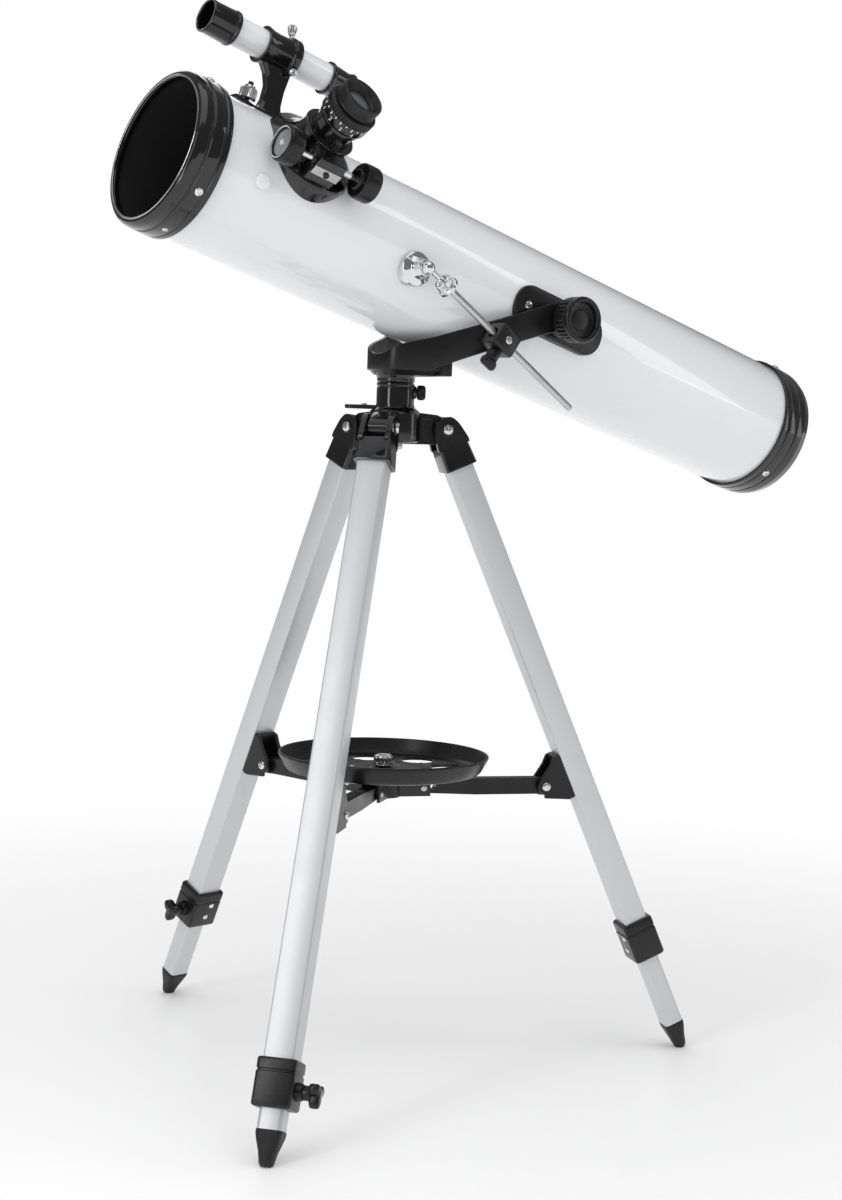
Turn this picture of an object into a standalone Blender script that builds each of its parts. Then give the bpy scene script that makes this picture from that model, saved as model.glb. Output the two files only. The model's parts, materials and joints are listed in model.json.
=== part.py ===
"""Telescope on tripod: reflecting telescope on an altazimuth fork and a folding aluminium tripod.

Metres in the final model, +Z up.  Lengths below are written in millimetres times MM.
The optical tube points along -X and upwards; -Y is the side with the slow-motion rod.
"""
import math

import bmesh
import bpy
from mathutils import Matrix, Vector

MM = 0.001

# ---------------------------------------------------------------- driving dimensions
ORIGIN_X = -99.865 * MM            # shift that puts the origin under the middle of the whole object
ORIGIN_Y = -45.784 * MM
ORIGIN_Z = -1.6 * MM
FLOOR_CUT = 1.6 * MM           # foot tips are worn flat at this height
FOOT_RADIUS = 283.2 * MM       # foot tips from the azimuth axis
LEG_PIVOT_RADIUS = 43.0 * MM
LEG_PIVOT_Z = 542.4 * MM
LEG_AZIMUTHS = (218.4, -21.6, 98.4)      # degrees
LEG_SLEEVE_START = (514.0, 463.0, 471.0)  # mm along each leg where the height clamp begins
LEG_WIDTH = 24.0 * MM
LEG_DEPTH = 21.0 * MM
LEG_WALL = 1.6 * MM
PIER_RADIUS = 15.8 * MM
ALT_X = 123.6 * MM             # altitude axis, behind the azimuth axis
ALT_Z = 637.7 * MM
TUBE_ELEVATION = 16.6          # degrees, rest pose
TUBE_RADIUS = 60.0 * MM
TUBE_WALL = 1.5 * MM
TUBE_AXIS_LIFT = 4.8 * MM      # tube axis above the altitude axis
TUBE_FRONT = 370.0 * MM        # along the tube from the altitude axis
TUBE_REAR = -305.0 * MM
FOCUSER_ANGLE = 53.1           # degrees from the top of the tube towards -Y
FOCUSER_ALONG = 270.0 * MM
FINDER_HEIGHT = 113.0 * MM     # finder axis above the tube axis
ROD_RADIUS = 3.0 * MM
TRAY_RADIUS = 89.4 * MM
BRACE_Z = 238.7 * MM
BRACE_INNER_RADIUS = 34.0 * MM

# ---------------------------------------------------------------- clean scene
for _o in list(bpy.data.objects):
    bpy.data.objects.remove(_o, do_unlink=True)


# ---------------------------------------------------------------- materials
def material(name, color, metallic=0.0, rough=0.4):
    m = bpy.data.materials.new(name)
    m.use_nodes = True
    p = m.node_tree.nodes.get("Principled BSDF")
    p.inputs["Base Color"].default_value = (color[0], color[1], color[2], 1.0)
    p.inputs["Metallic"].default_value = metallic
    p.inputs["Roughness"].default_value = rough
    return m


LOOK = {
    "black_gloss": ((0.012, 0.012, 0.013), 0.0, 0.22),
    "black_satin": ((0.018, 0.018, 0.019), 0.0, 0.45),
    "black_metal": ((0.015, 0.015, 0.016), 0.3, 0.35),
    "white_paint": ((0.83, 0.84, 0.86), 0.0, 0.12),
    "aluminium": ((0.80, 0.81, 0.83), 0.85, 0.38),
    "chrome": ((0.72, 0.72, 0.73), 1.0, 0.16),
    "steel": ((0.60, 0.60, 0.61), 1.0, 0.28),
    "rubber": ((0.015, 0.015, 0.016), 0.0, 0.7),
    "mirror": ((0.85, 0.87, 0.90), 1.0, 0.04),
}

# ---------------------------------------------------------------- frames (millimetres)
E = math.radians(TUBE_ELEVATION)
AXF = Matrix((
    (-math.cos(E), 0.0, math.sin(E), ALT_X / MM),
    (0.0, -1.0, 0.0, 0.0),
    (math.sin(E), 0.0, math.cos(E), ALT_Z / MM),
    (0.0, 0.0, 0.0, 1.0),
))                                                   # along, near side, up; origin on the altitude axis
TUBE = AXF @ Matrix.Translation((0.0, 0.0, TUBE_AXIS_LIFT / MM))   # same, origin on the tube axis


def aim(origin, direction, side=(0, 0, 1)):
    """Frame with its Z along direction and its X as close to side as possible."""
    z = Vector(direction).normalized()
    s = Vector(side)
    if abs(s.normalized().dot(z)) > 0.99:
        s = Vector((1, 0, 0))
    x = (s - z * s.dot(z)).normalized()
    y = z.cross(x)
    m = Matrix.Identity(4)
    for i in range(3):
        m[i][0], m[i][1], m[i][2], m[i][3] = x[i], y[i], z[i], origin[i]
    return m


ALONG = aim((0, 0, 0), (1, 0, 0), (0, 0, 1))         # lathe axis -> local X


# ---------------------------------------------------------------- mesh builders (millimetres in, metres out)
def raw(verts, faces, frame):
    bm = bmesh.new()
    vs = [bm.verts.new((frame @ Vector(v)) * MM) for v in verts]
    for f in faces:
        bm.faces.new([vs[i] for i in f])
    bmesh.ops.recalc_face_normals(bm, faces=bm.faces)
    return bm


def facets(n):
    """Large rounds get fewer sides than asked for; small shafts and bores keep theirs."""
    return n if n <= 24 else 2 * round(n * 0.31)


def lathe(profile, frame=Matrix.Identity(4), segs=32, turn=0.0):
    """Closed (radius, height) outline turned about the local Z axis."""
    segs = facets(segs)
    verts, faces, ring = [], [], []
    for r, z in profile:
        if r < 1e-6:
            ring.append([len(verts)])
            verts.append((0, 0, z))
        else:
            ids = []
            for k in range(segs):
                a = 2 * math.pi * (k + turn) / segs
                ids.append(len(verts))
                verts.append((r * math.cos(a), r * math.sin(a), z))
            ring.append(ids)
    n = len(profile)
    for i in range(n):
        a, b = ring[i], ring[(i + 1) % n]
        if len(a) == 1 and len(b) == 1:
            continue
        for k in range(segs):
            k2 = (k + 1) % segs
            if len(a) == 1:
                faces.append((a[0], b[k], b[k2]))
            elif len(b) == 1:
                faces.append((a[k], b[0], a[k2]))
            else:
                faces.append((a[k], b[k], b[k2], a[k2]))
    return raw(verts, faces, frame)


def rod(r, z0, z1, frame=Matrix.Identity(4), segs=24, ch=0.0, turn=0.0):
    if ch > 0:
        prof = [(0, z0), (r - ch, z0), (r, z0 + ch), (r, z1 - ch), (r - ch, z1), (0, z1)]
    else:
        prof = [(0, z0), (r, z0), (r, z1), (0, z1)]
    return lathe(prof, frame, segs, turn)


def loft(rings, frame=Matrix.Identity(4)):
    n = len(rings[0])
    verts = [tuple(p) for r in rings for p in r]
    faces = [tuple(range(n - 1, -1, -1)), tuple(range((len(rings) - 1) * n, len(rings) * n))]
    for i in range(len(rings) - 1):
        for k in range(n):
            k2 = (k + 1) % n
            faces.append((i * n + k, i * n + k2, (i + 1) * n + k2, (i + 1) * n + k))
    return raw(verts, faces, frame)


def prism(poly, z0, z1, frame=Matrix.Identity(4)):
    return loft([[(x, y, z0) for x, y in poly], [(x, y, z1) for x, y in poly]], frame)


def block(x0, x1, y0, y1, z0, z1, frame=Matrix.Identity(4), ch=0.0):
    if ch <= 0:
        return prism([(x0, y0), (x1, y0), (x1, y1), (x0, y1)], z0, z1, frame)
    def poly(d):
        a, b, c, e = x0 + d, x1 - d, y0 + d, y1 - d
        return [(a + ch, c), (b - ch, c), (b, c + ch), (b, e - ch), (b - ch, e), (a + ch, e), (a, e - ch), (a, c + ch)]
    rings = [[(x, y, z0) for x, y in poly(ch)], [(x, y, z0 + ch) for x, y in poly(0)],
             [(x, y, z1 - ch) for x, y in poly(0)], [(x, y, z1) for x, y in poly(ch)]]
    return loft(rings, frame)


def round_poly(w, h, r, n=4):
    pts = []
    for cx, cy, a0 in ((w - r, h - r, 0), (-w + r, h - r, 90), (-w + r, -h + r, 180), (w - r, -h + r, 270)):
        for k in range(n + 1):
            a = math.radians(a0 + 90 * k / n)
            pts.append((cx + r * math.cos(a), cy + r * math.sin(a)))
    return pts


def scene_object(name, bm, look=None, hide=False):
    bmesh.ops.translate(bm, verts=bm.verts, vec=Vector((ORIGIN_X, ORIGIN_Y, ORIGIN_Z)))
    me = bpy.data.meshes.new(name)
    bm.to_mesh(me)
    bm.free()
    o = bpy.data.objects.new(name, me)
    bpy.context.scene.collection.objects.link(o)
    if hide:
        o.hide_render = True
        o.display_type = "WIRE"
    else:
        c, mt, rg = LOOK[look]
        me.materials.append(material(name + "_mat", c, mt, rg))
    return o


def part(name, bm, look, add=(), cut=()):
    """Named body; add and cut are closed meshes joined to it or taken out of it."""
    o = scene_object(name, bm, look)
    for i, b in enumerate(add):
        h = scene_object("h_%s_a%d" % (name, i), b, hide=True)
        m = o.modifiers.new("join%d" % i, "BOOLEAN")
        m.operation, m.solver, m.object = "UNION", "EXACT", h
    for i, b in enumerate(cut):
        h = scene_object("h_%s_c%d" % (name, i), b, hide=True)
        m = o.modifiers.new("cut%d" % i, "BOOLEAN")
        m.operation, m.solver, m.object = "DIFFERENCE", "EXACT", h
    if add or cut:
        m = o.modifiers.new("tidy", "WELD")
        m.merge_threshold = 0.012 * MM
    return o


# ---------------------------------------------------------------- tripod head
LEAN = math.atan2(FOOT_RADIUS - LEG_PIVOT_RADIUS, LEG_PIVOT_Z)
LEG_LEN = math.hypot(FOOT_RADIUS - LEG_PIVOT_RADIUS, LEG_PIVOT_Z) / MM
PR, PZ = LEG_PIVOT_RADIUS / MM, LEG_PIVOT_Z / MM


def azimuth_frame(deg):
    return Matrix.Rotation(math.radians(deg), 4, "Z")


def leg_frame(deg):
    """Origin on the leg pivot, X tangential, Y outwards from the leg's face, Z down the leg."""
    m = Matrix.Identity(4)
    s, c = math.sin(LEAN), math.cos(LEAN)
    cols = ((0, 1, 0), (c, 0, s), (s, 0, -c))
    for j, v in enumerate(cols):
        for i in range(3):
            m[i][j] = v[i]
    m[0][3], m[2][3] = PR, PZ
    return azimuth_frame(deg) @ m


arm_adds, arm_cuts = [], []
for az in LEG_AZIMUTHS:
    F = azimuth_frame(az)
    outline = [(6.0, PZ - 13.0), (PR - 4.0, PZ - 13.0)] + \
              [(PR + 9.0 * math.cos(math.radians(a)), PZ - 1.5 + 9.0 * math.sin(math.radians(a))) for a in (-70, -30, 10, 50, 80)] + \
              [(PR - 8.0, PZ + 12.0), (6.0, PZ + 14.5)]
    side = F @ Matrix(((1, 0, 0, 0), (0, 0, -1, 0), (0, 1, 0, 0), (0, 0, 0, 1)))   # polygon x -> radial, y -> up
    arm_adds.append(prism(outline, -8.6, 8.6, side))
    arm_cuts.append(rod(3.07, -12, 12, F @ aim((PR, 0, PZ), (0, 1, 0)), 24))
hub_core = [(0, PZ - 12.0), (20.0, PZ - 12.0), (22.0, PZ - 10.0), (22.0, PZ + 12.0), (20.0, PZ + 14.5), (PIER_RADIUS / MM + 0.9, PZ + 17.0), (PIER_RADIUS / MM, PZ + 20.3), (PIER_RADIUS / MM, 580.0), (0, 580.0)]
lever = block(-42, -14, -6, 6, PZ + 15.2, PZ + 18.6, azimuth_frame(-37.0), 1.0)
az_dir = (math.cos(math.radians(-30)), math.sin(math.radians(-30)), 0)
AK = aim((0, 0, 572.5), az_dir)
part("tripod_head", lathe(hub_core, segs=40), "black_gloss", add=arm_adds + [lever],
     cut=arm_cuts + [rod(6.07, 556.0, 590.0, segs=24), rod(2.57, 9.0, 24.0, AK, 16)])

# ---------------------------------------------------------------- altazimuth fork
FT = 4.6                                              # arm thickness
stations = [  # x, outer half width, low z, high z
    (134.0, 71.0, 629.5, 648.0), (112.0, 71.0, 626.8, 651.5), (95.0, 70.2, 622.6, 647.0), (75.0, 68.6, 616.6, 640.8),
    (55.0, 64.6, 610.2, 634.6), (40.0, 58.4, 605.0, 629.6), (25.0, 48.6, 598.6, 624.0), (8.0, 36.5, 590.5, 617.8), (-8.0, 26.5, 590.0, 613.4),
    (-17.5, 17.5, 590.0, 609.0), (-20.5, 7.0, 590.0, 604.4)]
path = [(x, -w, lo, hi) for x, w, lo, hi in stations] + [(x, w, lo, hi) for x, w, lo, hi in reversed(stations)]
rings = []
for i, (x, y, lo, hi) in enumerate(path):
    x0, y0 = path[max(i - 1, 0)][:2]
    x1, y1 = path[min(i + 1, len(path) - 1)][:2]
    dx, dy = x1 - x0, y1 - y0
    ln = math.hypot(dx, dy)
    nx, ny = dy / ln, -dx / ln                        # points to the inside of the cradle
    xi, yi = x + nx * FT, y + ny * FT
    rings.append([(x, y, lo), (x, y, hi), (xi, yi, hi), (xi, yi, lo)])
cradle = loft(rings)
floor_outline = [(-19.0, -7.0), (-16.5, -16.0), (-7.6, -24.5), (7.6, -34.5), (22.0, -44.5), (24.0, -44.5), (27.0, -20.0), (27.0, 20.0),
                 (24.0, 44.5), (22.0, 44.5), (7.6, 34.5), (-7.6, 24.5), (-16.5, 16.0), (-19.0, 7.0)]
floor_low = [(x * 0.90 + 1.0, y * 0.80) for x, y in floor_outline]
floor_mid = [(x, y) for x, y in floor_outline]
fork_floor = loft([[(x, y, 586.2) for x, y in floor_low], [(x, y, 590.5) for x, y in floor_mid], [(x, y, 597.0) for x, y in floor_mid]])
rear_rib = prism([(14.0, 586.2), (26.5, 586.2), (26.5, 601.0), (20.0, 601.0)], -43.0, 43.0,
                 Matrix(((1, 0, 0, 0), (0, 0, -1, 0), (0, 1, 0, 0), (0, 0, 0, 1))))
neck = lathe([(0, 556.4), (6.0, 556.4), (6.0, 580.3), (15.2, 580.3), (15.8, 581.0), (15.8, 584.0), (16.8, 586.0), (16.8, 592.0), (0, 592.0)], segs=40)
boss_near = rod(15.0, 64.6, 71.6, AXF @ aim((0, 0, 0), (0, 1, 0)), 32, 0.8)
boss_far = rod(15.0, -71.6, -64.6, AXF @ aim((0, 0, 0), (0, 1, 0)), 32, 0.8)
CL = (65.5, -41.4)                                    # rod clamp centre, along and up
lobby = rod(7.0, 59.0, 66.2, AXF @ aim((CL[0], 0, CL[1]), (0, 1, 0)), 24)
fork_cuts = [rod(4.07, 60.0, 80.0, AXF @ aim((0, 0, 0), (0, 1, 0)), 24, 0.0, 0.37), rod(4.07, -80.0, -60.0, AXF @ aim((0, 0, 0), (0, 1, 0)), 24, 0.0, 0.37),
             rod(3.07, 52.0, 71.0, AXF @ aim((CL[0], 0, CL[1]), (0, 1, 0)), 20)
             ]
part("fork", cradle, "black_satin", add=[fork_floor, rear_rib, neck, boss_near, boss_far, lobby], cut=fork_cuts)


part("azimuth_knob", rod(2.5, 10.4, 20.0, AK, 16), "black_satin",
     add=[lathe([(0, 18.0), (5.2, 18.0), (6.2, 19.0), (6.2, 24.0), (5.4, 25.0), (0, 25.0)], AK, 12)])

# altitude knobs and brackets
for side, sg in (("near", 1), ("far", -1)):
    KF = AXF @ aim((0, 0, 0), (0, sg, 0))
    part("altitude_knob_" + side, lathe([(0, 64.9), (4.0, 64.9), (4.0, 72.0), (16.5, 72.0), (16.5, 76.4), (19.3, 78.6),
                                         (19.3, 93.6), (18.0, 95.0), (15.6, 94.8), (14.2, 89.0), (0, 89.0)], KF, 40), "black_satin")
    plate_poly = round_poly(50.0, 18.5, 17.5, 6)
    PF = AXF @ aim((0, 0, 0), (0, sg, 0), (1, 0, 0))
    part("altitude_bracket_" + side, prism(plate_poly, 54.0, 63.0, PF), "black_satin",
         add=[rod(11.0, 60.0, 64.3, PF, 28)],
         cut=[rod(TUBE_RADIUS / MM + 0.3, -80.0, 80.0, TUBE @ ALONG, 96), rod(4.07, 55.0, 70.0, PF, 20)])

# ---------------------------------------------------------------- optical tube
def tube_lathe(profile, segs=64):
    return lathe(profile, TUBE @ ALONG, segs)


RT, RI = TUBE_RADIUS / MM, (TUBE_RADIUS - TUBE_WALL) / MM
FA = math.radians(FOCUSER_ANGLE)
FOC = TUBE @ aim((FOCUSER_ALONG / MM, 0, 0), (0, math.sin(FA), math.cos(FA)), (1, 0, 0))    # X along tube, Z out of the focuser
part("main_tube", tube_lathe([(RT, TUBE_REAR / MM), (RT, TUBE_FRONT / MM), (RI, TUBE_FRONT / MM), (RI, TUBE_REAR / MM)]), "white_paint",
     cut=[rod(19.0, 40.0, 80.0, FOC, 40), block(-3.4, 3.4, 8.0, 23.4, 40.0, 80.0, FOC)])
part("front_ring", tube_lathe([(60.3, 346.9), (64.1, 347.2), (64.1, 363.8), (63.4, 364.6), (63.9, 365.4), (63.2, 373.4),
                               (60.6, 376.2), (57.4, 375.8), (56.9, 370.4), (60.3, 370.4)], 56), "black_gloss")
part("rear_ring", tube_lathe([(60.3, -288.8), (60.3, -305.3), (52.6, -306.0), (52.6, -324.0), (58.6, -324.4),
                              (60.6, -318.0), (61.9, -316.6), (62.4, -307.0), (61.8, -306.0), (62.6, -305.0), (62.6, -289.2)], 56), "black_gloss")
part("rear_cell", tube_lathe([(0, -321.0), (52.0, -321.0), (52.3, -320.7), (52.3, -317.0), (44.0, -309.0), (12.0, -308.5), (12.0, -303.6), (0, -303.6)], 40),
     "black_satin")
part("primary_mirror", tube_lathe([(0, -303.0), (48.0, -303.0), (48.0, -292.6), (46.8, -292.4), (28.0, -294.3), (0, -295.0)], 40), "mirror")

spider_adds = []
for k in range(3):
    F = TUBE @ ALONG @ Matrix.Rotation(math.radians(120 * k + 12), 4, "Z")
    spider_adds.append(block(7.0, RI - 0.4, -0.8, 0.8, 291.0, 307.0, F))
part("secondary_spider", tube_lathe([(0, 286.0), (12.0, 286.0), (13.0, 287.0), (13.0, 311.0), (11.0, 314.0), (0, 314.0)], 28), "black_satin", add=spider_adds)
SM_F = TUBE @ aim((FOCUSER_ALONG / MM, 0, 0), (-0.7071, 0.7071 * math.sin(FA), 0.7071 * math.cos(FA)), (0, math.cos(FA), -math.sin(FA)))
part("secondary_mirror", lathe([(0, -2.5), (13.0, -2.5), (13.5, -2.0), (13.5, 2.0), (13.0, 2.5), (0, 2.5)], SM_F @ Matrix.Diagonal((1.0, 1.3, 1.0, 1.0)), 32), "mirror",
     add=[rod(4.0, 273.0, 285.7, TUBE @ ALONG, 16)])

# ---------------------------------------------------------------- focuser
SH_LAT, SH_UP = 28.0, 74.9                            # pinion shaft, sideways and out from the tube axis
base_prof = [(0, 50.0), (40.0, 50.0), (40.0, 57.0), (37.6, 61.0), (29.0, 64.0), (23.6, 69.0), (21.8, 75.0), (21.8, 84.2), (0, 84.2)]
housing = block(-12.5, 12.5, 10.0, SH_LAT + 7.6, 60.0, SH_UP + 7.6, FOC, 1.2)
part("focuser_base", lathe(base_prof, FOC, 48), "black_satin", add=[housing],
     cut=[rod(RT + 0.3, FOCUSER_ALONG / MM - 60, FOCUSER_ALONG / MM + 60, TUBE @ ALONG, 96), rod(17.3, 40.0, 100.0, FOC, 40),
          rod(2.56, -20.0, 20.0, FOC @ aim((0, SH_LAT, SH_UP), (1, 0, 0)), 20), block(-7.0, 7.0, 12.7, SH_LAT + 6.0, SH_UP - 6.0, SH_UP + 6.0, FOC),
          block(-3.2, 3.2, 6.3, 22.5, 37.0, 103.0, FOC)])
part("drawtube", lathe([(17.0, 49.0), (17.0, 95.0), (18.0, 95.6), (18.0, 98.4), (17.4, 99.0), (15.9, 99.0), (15.9, 49.0)], FOC, 40), "black_metal",
     add=[block(-2.5, 2.5, 16.5, 22.0, 50.5, 92.0, FOC)])       # rack
SHF = FOC @ aim((0, SH_LAT, SH_UP), (1, 0, 0))
part("focus_shaft", rod(2.5, -41.5, 41.5, SHF, 20), "steel", add=[rod(5.4, -6.5, 6.5, SHF, 16)])
for nm, sg in (("front", 1), ("rear", -1)):
    KF = FOC @ aim((0, SH_LAT, SH_UP), (sg, 0, 0))
    part("focus_knob_" + nm, lathe([(2.56, 27.5), (8.0, 27.5), (8.0, 30.0), (14.6, 30.6), (14.6, 43.6), (12.6, 44.8), (11.4, 42.6), (2.56, 42.6)], KF, 32), "black_satin")
part("eyepiece", lathe([(13.6, 70.0), (15.6, 70.0), (15.6, 99.5), (18.6, 99.6), (20.8, 102.6), (20.8, 109.0), (21.0, 110.0), (21.0, 115.4),
                        (19.2, 117.0), (19.4, 125.0), (17.0, 126.0), (10.2, 121.2), (0, 121.2), (0, 117.0), (13.6, 112.0)], FOC, 40), "black_satin")

# ---------------------------------------------------------------- finder
FH = FINDER_HEIGHT / MM
FIN = TUBE @ Matrix.Translation((0, 0, FH)) @ ALONG    # lathe height = distance along the tube
part("finder_tube", lathe([(0, 240.0), (11.8, 240.0), (11.8, 345.0), (10.6, 345.0), (10.6, 340.0), (0, 339.0)], FIN, 32), "white_paint")
part("finder_hood", lathe([(12.1, 339.4), (14.2, 339.4), (14.2, 342.8), (13.4, 343.4), (13.4, 365.0), (11.9, 365.4), (11.7, 345.6), (12.1, 345.2)], FIN, 32), "black_gloss")
part("finder_eyepiece", lathe([(12.1, 248.0), (13.8, 248.0), (12.6, 240.0), (11.6, 230.0), (11.4, 224.0), (8.6, 224.0), (7.6, 227.2), (0, 227.4), (0, 239.6), (12.1, 239.6)], FIN, 32), "black_gloss")
saddle_ring = lathe([(12.1, 280.5), (16.2, 280.5), (16.2, 288.0), (14.2, 288.4), (14.2, 312.5), (12.1, 312.5)], FIN, 36)
shoe = []
for s in (268.0, 279.0, 300.0, 315.0, 323.0):
    w = {268.0: 8.0, 279.0: 10.5, 300.0: 10.5, 315.0: 9.5, 323.0: 5.0}[s]
    lift = {268.0: 60.2, 279.0: 60.2, 300.0: 60.2, 315.0: 61.6, 323.0: 63.6}[s]
    low, top = [], []
    for k in range(5):
        y = -w + 2 * w * k / 4
        zz = math.sqrt(max(60.4 ** 2 - y * y, 0)) - 60.4 + lift + 0.2
        low.append((s, y, zz))
        top.append((s, y, zz + 2.6))
    shoe.append(low + top[::-1])
stem = loft([[(x, y, z) for x, y in ((279.0, -7.0), (299.0, -7.0), (302.0, -4.0), (302.0, 4.0), (299.0, 7.0), (279.0, 7.0))]
             for z in (61.6,)] +
            [[(282.5, -5.0, 84.0), (296.0, -5.0, 84.0), (299.0, -3.0, 84.0), (299.0, 3.0, 84.0), (296.0, 5.0, 84.0), (282.5, 5.0, 84.0)],
             [(281.5, -5.0, FH - 13.0), (306.0, -5.0, FH - 13.0), (309.0, -3.0, FH - 13.0), (309.0, 3.0, FH - 13.0), (306.0, 5.0, FH - 13.0), (281.5, 5.0, FH - 13.0)]], TUBE)
stud_f = rod(2.2, 62.7, 80.5, TUBE @ aim((311.0, 0, 0), (0, 0, 1)), 16)
FS1 = TUBE @ Matrix.Translation((284.3, 0, FH)) @ aim((0, 0, 0), (0, -0.29, 0.957))
FS2 = TUBE @ Matrix.Translation((284.3, 0, FH)) @ aim((0, 0, 0), (0, 0.66, -0.751))
part("finder_bracket", saddle_ring, "black_gloss", add=[loft(shoe, TUBE), stem, stud_f],
     cut=[rod(1.77, 11.0, 20.0, FS1, 16), rod(1.77, 11.0, 20.0, FS2, 16)])
part("finder_nut", lathe([(2.26, 66.5), (6.2, 66.5), (7.0, 67.3), (7.0, 75.2), (6.2, 76.0), (3.4, 76.2), (3.4, 78.4), (2.26, 78.4)], TUBE @ aim((311.0, 0, 0), (0, 0, 1)), 24), "chrome")
part("finder_screw_top", rod(1.7, 12.2, 24.0, FS1, 14), "chrome", add=[lathe([(0, 21.0), (2.6, 21.0), (3.6, 25.0), (4.0, 28.6), (3.4, 29.4), (0, 29.4)], FS1, 18)])
part("finder_screw_side", rod(1.7, 12.2, 19.0, FS2, 14), "chrome", add=[rod(3.8, 17.0, 20.6, FS2, 18, 0.5)])

# ---------------------------------------------------------------- slow-motion rod
BALL = (154.5, 78.0, -12.4)                           # along, near, up from the altitude axis
SOC = AXF @ aim((BALL[0], 0, BALL[2]), (0, 1, 0))
part("ball_socket", lathe([(0, 50.0), (10.5, 50.0), (10.5, 63.0), (9.6, 64.6), (7.6, 66.2), (7.2, 74.2), (6.6, 74.9), (0, 74.9)], SOC, 28), "chrome",
     cut=[lathe([(5.75 * math.sin(math.radians(180 * k / 10)), 78.0 - 5.75 * math.cos(math.radians(180 * k / 10))) for k in range(11)], SOC, 24),
          rod(RT + 0.3, BALL[0] - 30, BALL[0] + 30, TUBE @ ALONG, 96)])
dvec = Vector((CL[0] - BALL[0], 0, CL[1] - BALL[2]))
rd = dvec.normalized()
ROD = AXF @ aim(BALL, (rd.x, 0, rd.z), (0, 1, 0))     # Z down the rod from the ball
RODLEN = 187.0
ball_prof = [(5.5 * math.sin(math.radians(180 * k / 10)), -5.5 * math.cos(math.radians(180 * k / 10))) for k in range(11)]
part("slow_motion_rod", lathe(ball_prof, ROD, 24), "steel",
     add=[lathe([(0, 2.0), (2.1, 2.0), (2.1, 13.0), (3.0, 14.0), (3.0, RODLEN - 1.0), (2.2, RODLEN), (0, RODLEN)], ROD, 20)])
part("adjuster_nut", lathe([(3.06, 16.0), (7.2, 16.2), (7.2, 22.0), (9.2, 22.6), (9.2, 26.0), (4.8, 26.4), (4.8, 29.0), (3.06, 29.0)], ROD, 28), "chrome")
CLF = AXF @ aim((CL[0], BALL[1], CL[1]), (rd.x, 0, rd.z), (0, 1, 0))     # Z along the rod, X to the near side
clamp_adds = [lathe([(0, -22.0), (3.0, -22.0), (3.0, -11.4), (6.6, -11.4), (6.6, -8.0), (0, -8.0)], CLF @ aim((0, 0, 0), (1, 0, 0)), 20)]
CSD = CLF @ aim((0, 0, 0), (0, 1, 0))
probe = (CSD @ Vector((0, 0, 1)) - CSD @ Vector((0, 0, 0)))
sgn = 1.0 if probe.z < 0 else -1.0                    # the screw enters from underneath
CSF = CLF @ aim((0, 0, 0), (0, sgn, 0))
part("rod_clamp", block(-9.6, 9.6, -10.0, 10.0, -11.0, 11.0, CLF, 1.4), "black_satin", add=clamp_adds,
     cut=[rod(5.0, -20.0, 20.0, CLF, 28), rod(2.06, 3.0, 20.0, CSF, 16)])
wing = loft([[(x * 1.0, y, 18.6) for x, y in round_poly(5.4, 2.6, 2.4, 3)], [(x, y, 20.0) for x, y in round_poly(7.4, 3.4, 3.0, 3)],
             [(x, y, 25.0) for x, y in round_poly(7.8, 3.4, 3.0, 3)], [(x, y, 26.4) for x, y in round_poly(6.4, 2.4, 2.2, 3)]], CSF)
part("clamp_screw", rod(2.0, 5.4, 20.0, CSF, 16), "black_satin", add=[rod(5.4, 11.0, 19.4, CSF, 20, 0.6), wing])

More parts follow.
